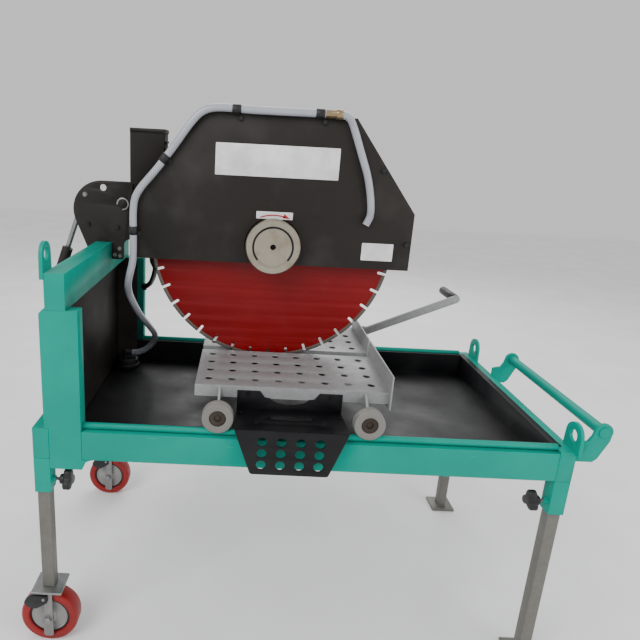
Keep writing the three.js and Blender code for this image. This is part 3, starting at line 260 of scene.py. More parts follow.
def turned_metal(name, color, centre):
    """A faced and turned surface: fine rings round a line along Y through the centre."""
    finish = new_material(name, color, 0.32, 0.9)
    shift = finish.node("ShaderNodeMapping")
    shift.inputs["Location"].default_value = tuple(-c for c in centre)
    finish.link(finish.place, shift.inputs["Vector"])
    rings = finish.tree.nodes.new("ShaderNodeTexWave")
    rings.wave_type = "RINGS"
    rings.rings_direction = "Y"
    rings.inputs["Scale"].default_value = 320
    rings.inputs["Distortion"].default_value = 0.6
    finish.link(shift.outputs["Vector"], rings.inputs["Vector"])
    finish.blend_color(finish.ramp(rings.outputs["Fac"], 0, 1, 0, 0.35), shade(color, 0.72))
    cloud = finish.noise(24, 6.0)
    finish.blend_color(finish.ramp(cloud, 0.48, 0.72, 0, 0.6), (0.24, 0.18, 0.12))
    pits = finish.noise(150, 2.0)
    finish.blend_color(finish.ramp(pits, 0.7, 0.78, 0, 0.6), (0.12, 0.09, 0.06))
    finish.vary_roughness(cloud, 0.24, 0.42)
    finish.bump(rings.outputs["Fac"], 0.2, 0.0001)
    return finish.material


def plastic(name, color, roughness, grain=0.3):
    """Moulded plastic or rubber: a fine grain, worn paler in places."""
    finish = new_material(name, color, roughness)
    mottle(finish, 18, 0.1)
    finish.vary_roughness(finish.noise(30, 5.0), roughness - 0.1, roughness + 0.12)
    finish.bump(finish.noise(700, 2.0), grain, 0.0002)
    return finish.material


def braided_hose(name):
    """Clear hose with a white cross-braid under a glossy skin; u runs round it and v along it, in metres."""
    color = srgb(150, 154, 164)
    finish = new_material(name, color, 0.28)
    uv = finish.node("ShaderNodeUVMap").outputs["UV"]
    for sign in (1, -1):
        turn = finish.node("ShaderNodeMapping", Rotation=(0, 0, sign * math.radians(45)))
        finish.link(uv, turn.inputs["Vector"])
        wave = finish.tree.nodes.new("ShaderNodeTexWave")
        wave.inputs["Scale"].default_value = 62
        finish.link(turn.outputs["Vector"], wave.inputs["Vector"])
        finish.blend_color(finish.ramp(wave.outputs["Fac"], 0.9, 0.98, 0, 0.55), srgb(222, 224, 230))
    finish.blend_color(finish.ramp(finish.noise(14, 4.0), 0.5, 0.75, 0, 0.35), srgb(112, 112, 118))
    finish.shader.inputs["Coat Weight"].default_value = 0.5
    finish.shader.inputs["Coat Roughness"].default_value = 0.12
    return finish.material


def make_materials():
    rubber = srgb(26, 26, 27)
    return {
        "green_paint": painted("teal_paint", srgb(0, 147, 129), 0.42, dust_amount=0.0, shine=0.12),
        "black_paint": painted("brown_black_paint", srgb(33, 29, 26), 0.5, dust_amount=0.03),
        "bracket_paint": painted("blue_black_paint", srgb(8, 8, 12), 0.4, dust_amount=0.015),
        "tray_black": painted("tray_paint", srgb(8, 9, 12), 0.4, dust_amount=0.01, texture=0.15, shine=0.22),
        "black_plastic": plastic("black_plastic", srgb(20, 20, 22), 0.5),
        "galvanised": metal("galvanised", srgb(158, 159, 160), 0.5, spangle=0.3, grime=0.12, metallic=0.35),
        "plain_steel": metal("zinc_plate", srgb(150, 150, 150), 0.36, streak=(1, 1, 0.08)),
        "machined_steel": turned_metal("machined_steel", srgb(176, 168, 152), at(0, 0, 402)),
        "leg_steel": metal("leg_steel", srgb(116, 114, 108), 0.5, spangle=0.25, grime=0.2, metallic=0.4),
        "roller": metal("roller_zinc", srgb(128, 126, 121), 0.5, grime=0.3, metallic=0.35),
        "bearing": metal("bearing_steel", srgb(52, 42, 34), 0.5, grime=0.4, metallic=0.4),
        "blade_red": painted("blade_red", srgb(124, 0, 6), 0.42, 0.01, texture=0.1, scratches=0.06),
        "segment": metal("diamond_segment", srgb(112, 106, 100), 0.6, grime=0.4),
        "hub_grey": plastic("hub_grey", srgb(140, 140, 138), 0.5),
        "caster_red": plastic("red_tread", srgb(136, 8, 6), 0.45),
        "motor_grey": painted("motor_paint", srgb(46, 49, 52), 0.45),
        "belt_rubber": plastic("belt_rubber", rubber, 0.75, 0.5),
        "brass": metal("brass", srgb(160, 140, 105), 0.3, grime=0.2),
        "button_green": plastic("green_button", srgb(24, 132, 58), 0.35, 0.1),
        "button_red": plastic("red_button", srgb(186, 24, 28), 0.3, 0.1),
        "hose": braided_hose("braided_hose"),
        "label": plastic("white_label", srgb(226, 227, 226), 0.35, 0.05),
        "label_red": plastic("red_print", srgb(176, 30, 40), 0.4, 0.05),
        # near-black painted shade, put where holes, a bore and a groove would show shade
        "dark": plastic("painted_gap_shade", srgb(12, 12, 12), 0.8),
    }


# ---------------------------------------------------------------- mesh helpers
def mesh_piece(name, points, faces):
    data = bpy.data.meshes.new(name)
    data.from_pydata([tuple(p) for p in points], [], faces)
    data.update()
    piece = bpy.data.objects.new(name, data)
    bpy.context.collection.objects.link(piece)
    return piece


def smooth(piece, degrees=35):
    piece.data.shade_smooth()
    piece.data.set_sharp_from_angle(angle=math.radians(degrees))
    return piece


def round_edges(piece, width, segments=2):
    """Welds the mesh and rounds its hard edges."""
    weld = piece.modifiers.new("weld", "WELD")
    weld.merge_threshold = 0.00002
    bevel = piece.modifiers.new("rounded", "BEVEL")
    bevel.width = width
    bevel.segments = segments
    bevel.limit_method = "ANGLE"
    bevel.angle_limit = math.radians(40)
    bevel.harden_normals = True
    return piece


def dress(node, slot, width=0.001, segments=2):
    """Gives a CAD node that stays its material and rounded edges."""
    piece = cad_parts[node]
    piece.data.materials.clear()
    piece.data.materials.append(MATERIALS[slot])
    piece.data.shade_smooth()
    piece.data.set_sharp_from_angle(angle=math.radians(30))
    if width:
        round_edges(piece, width, segments)


def finish_piece(piece, slot, body, *nodes):
    """Gives a new piece its material and its body, and lets it stand for CAD nodes."""
    piece.data.materials.clear()
    piece.data.materials.append(MATERIALS[slot])
    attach(piece, body)
    if nodes:
        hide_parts(*nodes)
    return piece


def joined(name, pieces):
    """One mesh from several, in the row frame."""
    mesh = bmesh.new()
    bpy.context.view_layer.update()
    for piece in pieces:
        part = piece.data.copy()
        part.transform(piece.matrix_world)
        mesh.from_mesh(part)
        bpy.data.meshes.remove(part)
        bpy.data.objects.remove(piece)
    data = bpy.data.meshes.new(name)
    mesh.to_mesh(data)
    mesh.free()
    whole = bpy.data.objects.new(name, data)
    bpy.context.collection.objects.link(whole)
    return whole


def turned(name, profile, centre, steps=64, axis="Y"):
    """A body turned about an axis through centre; profile holds (radius, along) pairs in millimetres."""
    points = []
    faces = []
    count = len(profile)
    for i in range(steps):
        angle = 2 * math.pi * i / steps
        for radius, along in profile:
            a, b = radius * math.cos(angle) * MM, radius * math.sin(angle) * MM
            local = {"X": (along * MM, a, b), "Y": (b, along * MM, a), "Z": (a, b, along * MM)}[axis]
            points.append(Vector(centre) + Vector(local))
    for i in range(steps):
        for k in range(count - 1):
            here, there = i * count + k, (i + 1) % steps * count + k
            faces.append((here, here + 1, there + 1, there))
    piece = mesh_piece(name, points, faces)
    clean(piece)
    return smooth(piece, 32)


def clean(piece):
    """Merges doubled points and makes the faces look outwards."""
    mesh = bmesh.new()
    mesh.from_mesh(piece.data)
    bmesh.ops.remove_doubles(mesh, verts=mesh.verts, dist=0.00001)
    bmesh.ops.recalc_face_normals(mesh, faces=mesh.faces)
    mesh.to_mesh(piece.data)
    mesh.free()


def arc(x, z, radius, start, end, steps=16):
    """Points on a circle from one angle to another, in degrees."""
    angles = [math.radians(start + (end - start) * i / steps) for i in range(steps + 1)]
    return [(x + radius * math.cos(a), z + radius * math.sin(a)) for a in angles]


def ring(x, z, radius, steps=24):
    return arc(x, z, radius, 0, 360, steps)[:-1]


def rounded(corners, radius, steps=5):
    """A polygon's outline with its corners rounded, in millimetres."""
    outline = []
    count = len(corners)
    for i in range(count):
        before, corner, after = (Vector(corners[(i + k) % count]) for k in (-1, 0, 1))
        reach = min(radius, 0.45 * (before - corner).length, 0.45 * (after - corner).length)
        start = corner + (before - corner).normalized() * reach
        end = corner + (after - corner).normalized() * reach
        for k in range(steps + 1):
            t = k / steps
            outline.append(tuple((1 - t) ** 2 * start + 2 * t * (1 - t) * corner + t * t * end))
    return outline


PLANES = {
    "XZ": lambda a, b, c: (a, c, b),
    "YZ": lambda a, b, c: (c, a, b),
    "XY": lambda a, b, c: (a, b, c),
}


def plate(name, plane, outline, holes, low, high, edge=0.5):
    """A flat plate with holes and rounded edges: its outline lies in a plane of the datum, in millimetres."""
    curve = bpy.data.curves.new(name, "CURVE")
    curve.dimensions = "2D"
    curve.fill_mode = "BOTH"
    edge = min(edge, (high - low) * 0.45)
    curve.extrude = (high - low) / 2 - edge
    curve.bevel_depth = edge
    curve.bevel_resolution = 1
    curve.offset = -edge
    for loop in [outline, *holes]:
        spline = curve.splines.new("POLY")
        spline.points.add(len(loop) - 1)
        for point, (a, b) in zip(spline.points, loop):
            point.co = (a, b, 0, 1)
        spline.use_cyclic_u = True
    flat = bpy.data.objects.new(name, curve)
    bpy.context.collection.objects.link(flat)
    bpy.context.view_layer.update()
    data = bpy.data.meshes.new_from_object(flat.evaluated_get(bpy.context.evaluated_depsgraph_get()))
    bpy.data.objects.remove(flat)
    data.name = name
    middle = (low + high) / 2
    for vertex in data.vertices:
        a, b, c = vertex.co
        vertex.co = at(*PLANES[plane](a, b, c + middle))
    piece = bpy.data.objects.new(name, data)
    bpy.context.collection.objects.link(piece)
    clean(piece)
    return smooth(piece, 30)


def along_curve(points, spacing):
    """Points at an even spacing on a smooth curve through the given ones."""
    points = [Vector(p) for p in points]
    ends = [2 * points[0] - points[1], *points, 2 * points[-1] - points[-2]]
    fine = []
    for p0, p1, p2, p3 in zip(ends, ends[1:], ends[2:], ends[3:]):
        knots = [0.0]
        for a, b in ((p0, p1), (p1, p2), (p2, p3)):
            knots.append(knots[-1] + max((b - a).length, 1e-6) ** 0.5)
        t0, t1, t2, t3 = knots
        for k in range(24):
            t = t1 + (t2 - t1) * k / 24
            a1 = p0.lerp(p1, (t - t0) / (t1 - t0))
            a2 = p1.lerp(p2, (t - t1) / (t2 - t1))
            a3 = p2.lerp(p3, (t - t2) / (t3 - t2))
            b1 = a1.lerp(a2, (t - t0) / (t2 - t0))
            b2 = a2.lerp(a3, (t - t1) / (t3 - t1))
            fine.append(b1.lerp(b2, (t - t1) / (t2 - t1)))
    fine.append(points[-1])
    total = sum((b - a).length for a, b in zip(fine, fine[1:]))
    count = max(2, round(total / spacing))
    even = [fine[0]]
    walked = 0.0
    for a, b in zip(fine, fine[1:]):
        step = (b - a).length
        while len(even) < count and walked + step >= total * len(even) / count:
            even.append(a.lerp(b, (total * len(even) / count - walked) / step))
        walked += step
    even.append(fine[-1])
    return even


def tube(name, path, radius, sides=20, profile=None):
    """A round tube along a path, with UVs in metres; profile(t) scales the radius from 0 to 1 along it."""
    normal = (path[1] - path[0]).orthogonal().normalized()
    points = []
    travelled = [0.0]
    for i, point in enumerate(path):
        before, after = path[max(i - 1, 0)], path[min(i + 1, len(path) - 1)]
        forward = (after - before).normalized()
        normal = (normal - forward * normal.dot(forward)).normalized()
        side = forward.cross(normal)
        size = radius * (profile(i / (len(path) - 1)) if profile else 1)
        for k in range(sides):
            angle = 2 * math.pi * k / sides
            points.append(point + size * (math.cos(angle) * normal + math.sin(angle) * side))
        if i:
            travelled.append(travelled[-1] + (point - path[i - 1]).length)
    faces = []
    corners = []
    for i in range(len(path) - 1):
        for k in range(sides):
            n = (k + 1) % sides
            faces.append((i * sides + k, i * sides + n, (i + 1) * sides + n, (i + 1) * sides + k))
            u0, u1 = (2 * math.pi * radius * j / sides for j in (k, k + 1))
            v0, v1 = travelled[i], travelled[i + 1]
            corners += [(u0, v0), (u1, v0), (u1, v1), (u0, v1)]
    last = (len(path) - 1) * sides
    faces.append(tuple(reversed(range(sides))))
    faces.append(tuple(range(last, last + sides)))
    corners += [(0, 0)] * (2 * sides)
    piece = mesh_piece(name, points, faces)
    layer = piece.data.uv_layers.new(name="UVMap")
    for loop, corner in zip(layer.data, corners):
        loop.uv = corner
    return smooth(piece, 60)


def bar(name, start, end, radius, sides=24):
    """A straight round bar with softly rounded ends, between two datum points in millimetres."""
    a, b = at(*start), at(*end)
    forward = (b - a).normalized()
    lip = min(radius * 0.2, 1.2) * MM
    path = [a, a + forward * lip, b - forward * lip, b]
    shrink = 1 - lip / (radius * MM)
    return tube(name, path, radius * MM, sides, lambda t: 1 if 0.1 < t < 0.9 else shrink)


def hex_bolt(name, place, direction, size):
    """A hex head on a washer; place is on the surface, in datum millimetres, and size is the thread's."""
    head = size * 0.85
    profile = [(0, 0), (size, 0), (size, 0.15 * size), (0, 0.15 * size)]
    washer = turned(name, profile, (0, 0, 0), 24, "Z")
    points = []
    for height, scale in ((0.15, 1.0), (0.68, 1.0), (0.8, 0.9)):
        for k in range(6):
            angle = math.pi * k / 3
            reach = head * scale * MM
            points.append((reach * math.cos(angle), reach * math.sin(angle), height * size * MM))
    faces = [tuple(range(12, 18)), tuple(reversed(range(6)))]
    for k in range(6):
        n = (k + 1) % 6
        faces += [(row + k, row + n, row + 6 + n, row + 6 + k) for row in (0, 6)]
    cap = mesh_piece(name, points, faces)
    both = joined(name, [washer, cap])
    turn = Vector(direction).to_track_quat("Z", "Y").to_matrix().to_4x4()
    both.data.transform(Matrix.Translation(at(*place)) @ turn)
    return smooth(both, 30)


def bolts(name, body, places, direction, size, slot="plain_steel"):
    heads = [hex_bolt(name, place, direction, size) for place in places]
    return finish_piece(joined(name, heads), slot, body)


# ---------------------------------------------------------------- hoses and the motor cable
HOSE_RADIUS = 9.5
HOSE_FACE_Y = 289.5
HOSE_TOP_Z = 736
HOSE_RISE_X = -364
HOSE_JOINT_Z = 428


def add_hoses():
    """The water hose in three runs: up from the pump, over the guard, and down from the brass fitting."""
    y = HOSE_FACE_Y
    rise = HOSE_RISE_X
    lower = [
        (-423.7, 577, -18), (-412, 577, -18), (-396, 577, -14), (-376, 573, -1), (-352, 556, 28),
        (-342, 522, 65), (-351, 470, 109), (-365, 410, 157), (-376, 352, 211), (-382, 320, 250),
        (-380, 298, 280), (-374, y, 308), (rise - 2, y, 344), (rise, y, 385), (rise, y, HOSE_JOINT_Z),
    ]
    upper = [
        (rise, y, HOSE_JOINT_Z), (rise, y, 472), (-360, y, 506), (-348, y, 530), (-301, y, 588),
        (-257, y, 648), (-217, y, 704), (-196, y, 725), (-168, y, HOSE_TOP_Z), (-60, y, HOSE_TOP_Z),
        (110, y, HOSE_TOP_Z),
    ]
    drop = [
        (140.3, y, HOSE_TOP_Z), (150, y, HOSE_TOP_Z), (158, y, HOSE_TOP_Z - 1), (172, y, 726), (183, y, 706),
        (204, y, 655), (232, y, 582), (245, y, 521), (246, y, 492), (237, y, 469),
    ]
    radius = HOSE_RADIUS * MM
    path = along_curve([at(*p) for p in lower], 0.012)
    piece = tube("supply_hose", path, radius)
    piece.data.materials.append(MATERIALS["hose"])
    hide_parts("hose_lower")
    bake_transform(piece)
    for name, route, node in (("guard_hose", upper, "hose_upper"), ("drop_hose", drop, "hose_drop")):
        path = along_curve([at(*p) for p in route], 0.012)
        piece = finish_piece(tube(name, path, radius), "hose", "head", node)


CABLE_RADIUS = 8
CABLE_STILL = (-357, 568, 236)  # from here on the cable stays with the frame


def add_motor_cable():
    """The cable that leaves the head in a loop and enters the rear column through a gland."""
    route = [
        (-312, 437, 384), (-326, 442, 362), (-338, 449, 338), (-342, 463, 314), (-338, 491, 288),
        (-347, 532, 259), CABLE_STILL, (-369, 600, 214), (-385, 624, 197), (-399, 637, 190),
    ]
    path = along_curve([at(*p) for p in route], 0.008)
    piece = tube("loop_cable", path, CABLE_RADIUS * MM, 18)
    piece.data.materials.append(MATERIALS["black_plastic"])
    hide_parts("motor_cable")
    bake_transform(piece)
    finish_piece(bar("cable_gland", (-399.8, 636, 191), (-388, 636, 191), 12), "black_plastic", "frame")


def add_hose_clamps():
    """Black saddle clamps that hold the hose along the guard's edge."""
    y = HOSE_FACE_Y
    places = [((HOSE_RISE_X, 425), 90), ((-285, 610), 53), ((-109, HOSE_TOP_Z), 0), ((97, HOSE_TOP_Z), 0)]
    pieces = []
    for (x, z), angle in places:
        along = Vector((math.cos(math.radians(angle)), 0, math.sin(math.radians(angle)))) * 11
        start = (x - along.x, y, z - along.z)
        end = (x + along.x, y, z + along.z)
        pieces.append(bar("clamp", start, end, HOSE_RADIUS + 2, 20))
    finish_piece(joined("hose_clamps", pieces), "black_plastic", "head")


# ---------------------------------------------------------------- cutting head
SPINDLE_Z = 402
BLADE_Y = 342.5
BLADE_RADIUS = 325


def add_blade():
    """A red core with keyhole slots, and grey diamond segments on its rim."""
    slots = 38
    pitch = 360 / slots
    first_slot = -0.35
    half_slot = 3.6
    slot_foot = BLADE_RADIUS - 24 + half_slot
    core_rim = BLADE_RADIUS - 8
    core = []
    segments = []
    for i in range(slots):
        middle = (first_slot + i) * pitch
        turn = math.radians(middle)
        out = Vector((math.cos(turn), math.sin(turn)))
        side = Vector((-out.y, out.x))
        centre = Vector((0, SPINDLE_Z))
        core += [tuple(centre + out * reach - side * half_slot) for reach in (core_rim, slot_foot)]
        for k in range(5):
            angle = math.pi * (k + 1) / 6
            reach = slot_foot - half_slot * math.sin(angle)
            core.append(tuple(centre + out * reach - side * half_slot * math.cos(angle)))
        core += [tuple(centre + out * reach + side * half_slot) for reach in (slot_foot, core_rim)]
        gap = math.degrees(half_slot / BLADE_RADIUS)
        first, last = middle + gap, middle + pitch - gap
        core += arc(0, SPINDLE_Z, core_rim, first + 0.3, last - 0.3, 3)
        tooth = arc(0, SPINDLE_Z, BLADE_RADIUS, first, last, 5)
        tooth += arc(0, SPINDLE_Z, core_rim - 1.5, last, first, 5)
        segments.append(plate("tooth", "XZ", tooth, [], BLADE_Y - 2, BLADE_Y + 2, 0.3))
    bore = ring(0, SPINDLE_Z, 30.3, 40)
    disc = plate("blade_core", "XZ", core, [bore], BLADE_Y - 1.7, BLADE_Y + 1.7, 0.2)
    finish_piece(disc, "blade_red", "blade_shaft", "blade")
    finish_piece(joined("blade_segments", segments), "segment", "blade_shaft")


def add_flange():
    """The turned outer flange, with a spring ring in its face that is open at the bottom; the ring is drawn
    near-black as painted shade of its groove, and the bore's floor as painted shade.
    """
    face = 268
    back = 340
    profile = [
        (0, face + 12), (7, face + 12), (7, face + 1), (8, face), (48.6, face), (49.1, face + 0.5),
        (49.1, face + 2.6), (53.6, face + 2.6), (53.6, face + 0.5), (54.1, face), (68.5, face),
        (71, face + 2.5), (71, back - 1), (70, back), (0, back),
    ]
    centre = at(0, 0, SPINDLE_Z)
    drum = turned("flange_drum", profile, centre, 96)
    finish_piece(drum, "machined_steel", "blade_shaft", "outer_flange")
    # The spring ring's near-black colour is painted shade of the groove it sits in.
    outline = arc(0, SPINDLE_Z, 53.4, -40, 222, 48) + arc(0, SPINDLE_Z, 49.3, 222, -40, 48)
    spring_ring_shade = plate("flange_ring_shade", "XZ", outline, [], face - 0.8, face + 2.4, 0.3)
    finish_piece(spring_ring_shade, "dark", "blade_shaft")
    # A near-black disc on the bore's floor: painted shade inside the bore.
    bore_shade_disc = [(0, face + 11), (6.9, face + 11), (6.9, face + 12), (0, face + 12)]
    bore = turned("flange_bore_shade", bore_shade_disc, centre, 32)
    finish_piece(bore, "dark", "blade_shaft")


GUARD_FACE_Y = 300
PRINT_FRONT_Y = 298.9
PRINT_BACK_Y = 299.4


def sticker(name, corners):
    """A thin blank label on the guard's face."""
    thickness, corner = 0.6, 2.5
    outline = rounded(corners, corner)
    piece = plate(name, "XZ", outline, [], GUARD_FACE_Y - thickness, GUARD_FACE_Y, 0.2)
    finish_piece(piece, "label", "head")


def rectangle(x0, x1, z0, z1):
    return [(x0, z0), (x1, z0), (x1, z1), (x0, z1)]


def add_labels():
    """Three blank labels, one with a plain arrow for the way the blade turns."""
    sticker("blank_label", rectangle(-158, 157, 577, 656))
    sticker("arrow_label", rectangle(-47, 48, 471, 490))
    sticker("small_label", rectangle(235, 318, 375, 421))
    shaft = arc(0, 384, 99, 112, 73, 12) + arc(0, 384, 95.8, 73, 112, 12)
    finish_piece(plate("arrow_shaft", "XZ", shaft, [], PRINT_FRONT_Y, PRINT_BACK_Y, 0.1), "label_red", "head")
    head = [(26, 486.5), (41, 473.5), (22, 475)]
    finish_piece(plate("arrow_head", "XZ", head, [], PRINT_FRONT_Y, PRINT_BACK_Y, 0.1), "label_red", "head")


def add_guard():
    dress("guard_front", "black_paint", 0.0015, 3)
    dress("guard_rear", "black_paint", 0.0015, 3)
    front = [(-98, 716), (111, 717), (-273, 604), (-351, 417), (271, 607), (351, 421)]
    bolts("guard_bolts", "head", [(x, GUARD_FACE_Y, z) for x, z in front], (0, -1, 0), 7, "black_plastic")
    add_labels()
    add_flange()


MOTOR_X = -170
MOTOR_Z = 608
MOTOR_FRONT_Y = 458
MOTOR_REAR_Y = 690
MOTOR_FINS = 40


def motor_shell():
    y0, y1 = MOTOR_FRONT_Y, MOTOR_REAR_Y
    profile = [
        (0, y0), (55, y0), (58, y0 + 3), (80, y0 + 4), (88, y0 + 10), (92, y0 + 18), (92, y1 - 62),
        (98, y1 - 60), (98, y1 - 12), (92, y1 - 3), (80, y1), (0, y1),
    ]
    return turned("shell", profile, at(MOTOR_X, 0, MOTOR_Z), 72)


def motor_fin(angle):
    """One cooling fin, made on the datum's axis and turned out to its angle in degrees."""
    y0, y1 = MOTOR_FRONT_Y, MOTOR_REAR_Y
    outline = rounded([(y0 + 22, 91), (y1 - 64, 91), (y1 - 66, 102), (y0 + 28, 102)], 3, 2)
    fin = plate("fin", "YZ", outline, [], -1.2, 1.2, 0.4)
    origin = at(0, 0, 0)
    spin = Matrix.Translation(at(MOTOR_X, 0, MOTOR_Z)) @ Matrix.Rotation(math.radians(90 - angle), 4, "Y")
    fin.data.transform(spin @ Matrix.Translation(-Vector((origin.x, 0, origin.z))))
    fin.data.transform(Matrix.Translation(Vector((0, -LEFT_RAIL[0].y, 0))))
    return fin


def add_motor_body():
    parts = [motor_shell()]
    for k in range(MOTOR_FINS):
        angle = 360 * k / MOTOR_FINS
        over_feet = 225 < angle < 315
        under_box = 70 < angle < 110
        if not over_feet and not under_box:
            parts.append(motor_fin(angle))
    body = joined("motor_housing", parts)
    finish_piece(smooth(body), "motor_grey", "head", "motor")


def add_motor_mounts():
    x, z, y0, y1 = MOTOR_X, MOTOR_Z, MOTOR_FRONT_Y, MOTOR_REAR_Y
    mounts = []
    for side in (-62, 62):
        outline = rounded(rectangle(x + side - 20, x + side + 20, 496.4, 540), 4)
        mounts.append(plate("foot", "XZ", outline, [], y0 + 30, y1 - 76, 1.5))
    lid = rounded(rectangle(x - 40, x + 40, y0 + 50, y0 + 130), 6)
    mounts.append(plate("box", "XY", lid, [], z + 84, z + 117, 3))
    finish_piece(joined("motor_mounts", mounts), "motor_grey", "head")


def add_motor_vents():
    # The vents are near-black discs on the fan cowl: painted shade where the holes would be.
    vents = []
    for k in range(16):
        angle = 2 * math.pi * k / 16
        for radius in (30, 50, 70):
            x, z = MOTOR_X + radius * math.cos(angle), MOTOR_Z + radius * math.sin(angle)
            vents.append(bar("vent", (x, MOTOR_REAR_Y - 0.4, z), (x, MOTOR_REAR_Y + 0.3, z), 4.5, 12))
    finish_piece(joined("motor_vent_shade", vents), "dark", "head")


def add_motor():
    """A ribbed motor on feet, with a fan cowl, a terminal box and its shaft."""
    add_motor_body()
    shaft = [bar("shaft", (MOTOR_X, 398, MOTOR_Z), (MOTOR_X, MOTOR_FRONT_Y + 2, MOTOR_Z), 14)]
    add_motor_mounts()
    finish_piece(joined("motor_shaft", shaft), "plain_steel", "head")
    add_motor_vents()


def add_head():
    dress("head_arm", "black_paint", 0.0015)
    dress("belt_cover", "black_paint", 0.001)
    dress("drive_belt", "belt_rubber", 0.001)
    dress("spindle", "machined_steel", 0.0005)
    dress("motor_pulley", "plain_steel", 0.0005)
    dress("hose_fitting", "brass", 0.0006)
    dress("switch_box", "black_paint", 0.001)
    dress("start_button", "button_green", 0.0015, 3)
    dress("stop_button", "button_red", 0.0008)
    add_blade()
    add_guard()
    add_motor()


# ---------------------------------------------------------------- pivot and strut
CHEEK_FACE_Y = 441.5
PIVOT_X = -422.5
PIVOT_Z = 476.6


def add_pivot():
    dress("pivot_cheek_front", "black_paint", 0.0012)
    dress("pivot_cheek_rear", "black_paint", 0.0012)
    dress("strut_cylinder", "black_paint", 0.001)
    dress("strut_rod", "plain_steel", 0.0008)
    face = CHEEK_FACE_Y
    bolts("cheek_bolts", "frame", [(-438.8, face, 410), (-522.3, face, 414.5)], (0, -1, 0), 7, "black_paint")
    bolts("tail_bolts", "frame", [(-432, face, 327), (-447, face, 330), (-433, face, 348)], (0, -1, 0), 6)
    bolts("cheek_stud", "frame", [(-528.8, face, 498)], (0, -1, 0), 7)
    outside = arc(PIVOT_X, PIVOT_Z, 17.5, -95, 190, 32)
    ring_outline = outside + arc(PIVOT_X, PIVOT_Z, 13, 190, -95, 32)
    finish_piece(plate("pin_ring", "XZ", ring_outline, [], face - 5, face - 2.5, 0.6), "plain_steel", "head")


# ---------------------------------------------------------------- cart
CART_LEFT = -177
CART_RIGHT = 293
CART_TOP = 95
CART_SHEET = 3
AXLE_Z = 41
AXLE_XS = (-117, 236)
DECK_HALVES = [(78, 327), (358, 607)]
HOLE_PITCH = 57.5


def deck_plates():
    plates = []
    for y0, y1 in DECK_HALVES:
        first_y = (y0 + y1) / 2 - 1.5 * HOLE_PITCH + (4 if y0 < BLADE_Y else -4)
        holes = [
            ring(CART_LEFT + 31 + HOLE_PITCH * i, first_y + HOLE_PITCH * k, 9.3, 20)
            for i in range(8)
            for k in range(4)
        ]
        outline = rounded(rectangle(CART_LEFT, CART_RIGHT, y0, y1), 1.5)
        plates.append(plate("deck", "XY", outline, holes, CART_TOP - CART_SHEET, CART_TOP, 0.7))
    return plates


def deck_folds():
    """The lips folded down along the deck's edges and the two cross members under it."""
    folds = []
    for y in (78, 324, 358, 604):
        outline = rounded(rectangle(CART_LEFT, CART_RIGHT, 65, 93), 1.5)
        folds.append(plate("lip", "XZ", outline, [], y, y + CART_SHEET, 0.7))
    for x in (CART_LEFT + 12, CART_RIGHT - 43):
        outline = rounded(rectangle(79, 606, 65, 74), 1.5)
        folds.append(plate("member", "YZ", outline, [], x, x + 30, 1))
    return folds


def cart_fence():
    """The upright stop at the right, cut through for the blade, with the lug for the push lever."""
    gap = (BLADE_Y - 8, BLADE_Y + 8)
    notch = [(gap[1], 141), (gap[1], 75), (gap[0], 75), (gap[0], 141)]
    outline = [(65, 54), (597, 54), (597, 141), *notch, (65, 141)]
    fence = plate("fence", "YZ", rounded(outline, 2), [], 292, 296, 0.8)
    lug = plate("lug", "XZ", rounded(rectangle(295, 326, 96, 128), 5), [], 511.3, 517, 0.8)
    return [fence, lug]


def cart_hangers():
    """The webs from the deck down to the wheels, and the axles in them."""
    webs = []
    axles = []
    for x in AXLE_XS:
        for y, toward, lip in ((BAR_FRONT_Y, 1, 79), (BAR_REAR_Y, -1, 606)):
            near = y + toward * 15
            outline = rounded([(near, 30), (lip, 57), (lip, 90), (near, 55)], 3)
            webs.append(plate("web", "YZ", outline, [], x - 3, x + 3, 0.8))
            ends = sorted((y - toward * 9, y + toward * 26))
            axles.append(bar("axle", (x, ends[0], AXLE_Z), (x, ends[1], AXLE_Z), 7.7))
    return webs, axles


def add_cart():
    """The perforated table in two plates with its folds, fence and hangers, and what rides on it."""
    dress("push_lever", "galvanised", 0.001)
    finish_piece(bar("lever_grip", (585, 510, 231), (585, 626, 231), 13), "black_plastic", "push_lever")
    sheets = deck_plates() + deck_folds() + cart_fence()
    webs, axles = cart_hangers()
    finish_piece(joined("cart_axles", axles), "bearing", "cart")
    table = finish_piece(joined("cart_deck", sheets + webs), "galvanised", "cart", "cart_table")
    add_cart_wheels()
    add_push_bracket()


CART_WHEELS = {
    "front_left": (AXLE_XS[0], BAR_FRONT_Y),
    "front_right": (AXLE_XS[1], BAR_FRONT_Y),
    "rear_left": (AXLE_XS[0], BAR_REAR_Y),
    "rear_right": (AXLE_XS[1], BAR_REAR_Y),
}


def add_cart_wheels():
    """Grooved rollers with a dull bearing sunk in each face."""
    angles = [math.radians(174 - 14 * k) for k in range(13)]
    groove = [(37.7 - 9 * math.sin(a), 9 * math.cos(a)) for a in angles]
    half = [(8.3, 8.5), (19.3, 8.5), (19.8, 9), (19.8, 12.2), (20.3, 12.5), (35.5, 12.5), (36.8, 11.2)]
    profile = [(r, -y) for r, y in half] + groove + list(reversed(half)) + [(8.3, -8.5)]
    for corner, (x, y) in CART_WHEELS.items():
        body = "cart_wheel_" + corner
        finish_piece(turned("roller_" + corner, profile, at(x, y, AXLE_Z), 64), "roller", body, body)
        discs = []
        for side in (-1, 1):
            disc = [(8.2, 8), (8.2, 10.5), (10, 11), (18.3, 11), (19.4, 10), (19.4, 8)]
            discs.append(turned("disc", [(r, side * along) for r, along in disc], at(x, y, AXLE_Z), 40))
        finish_piece(joined("bearing_" + corner, discs), "bearing", body)


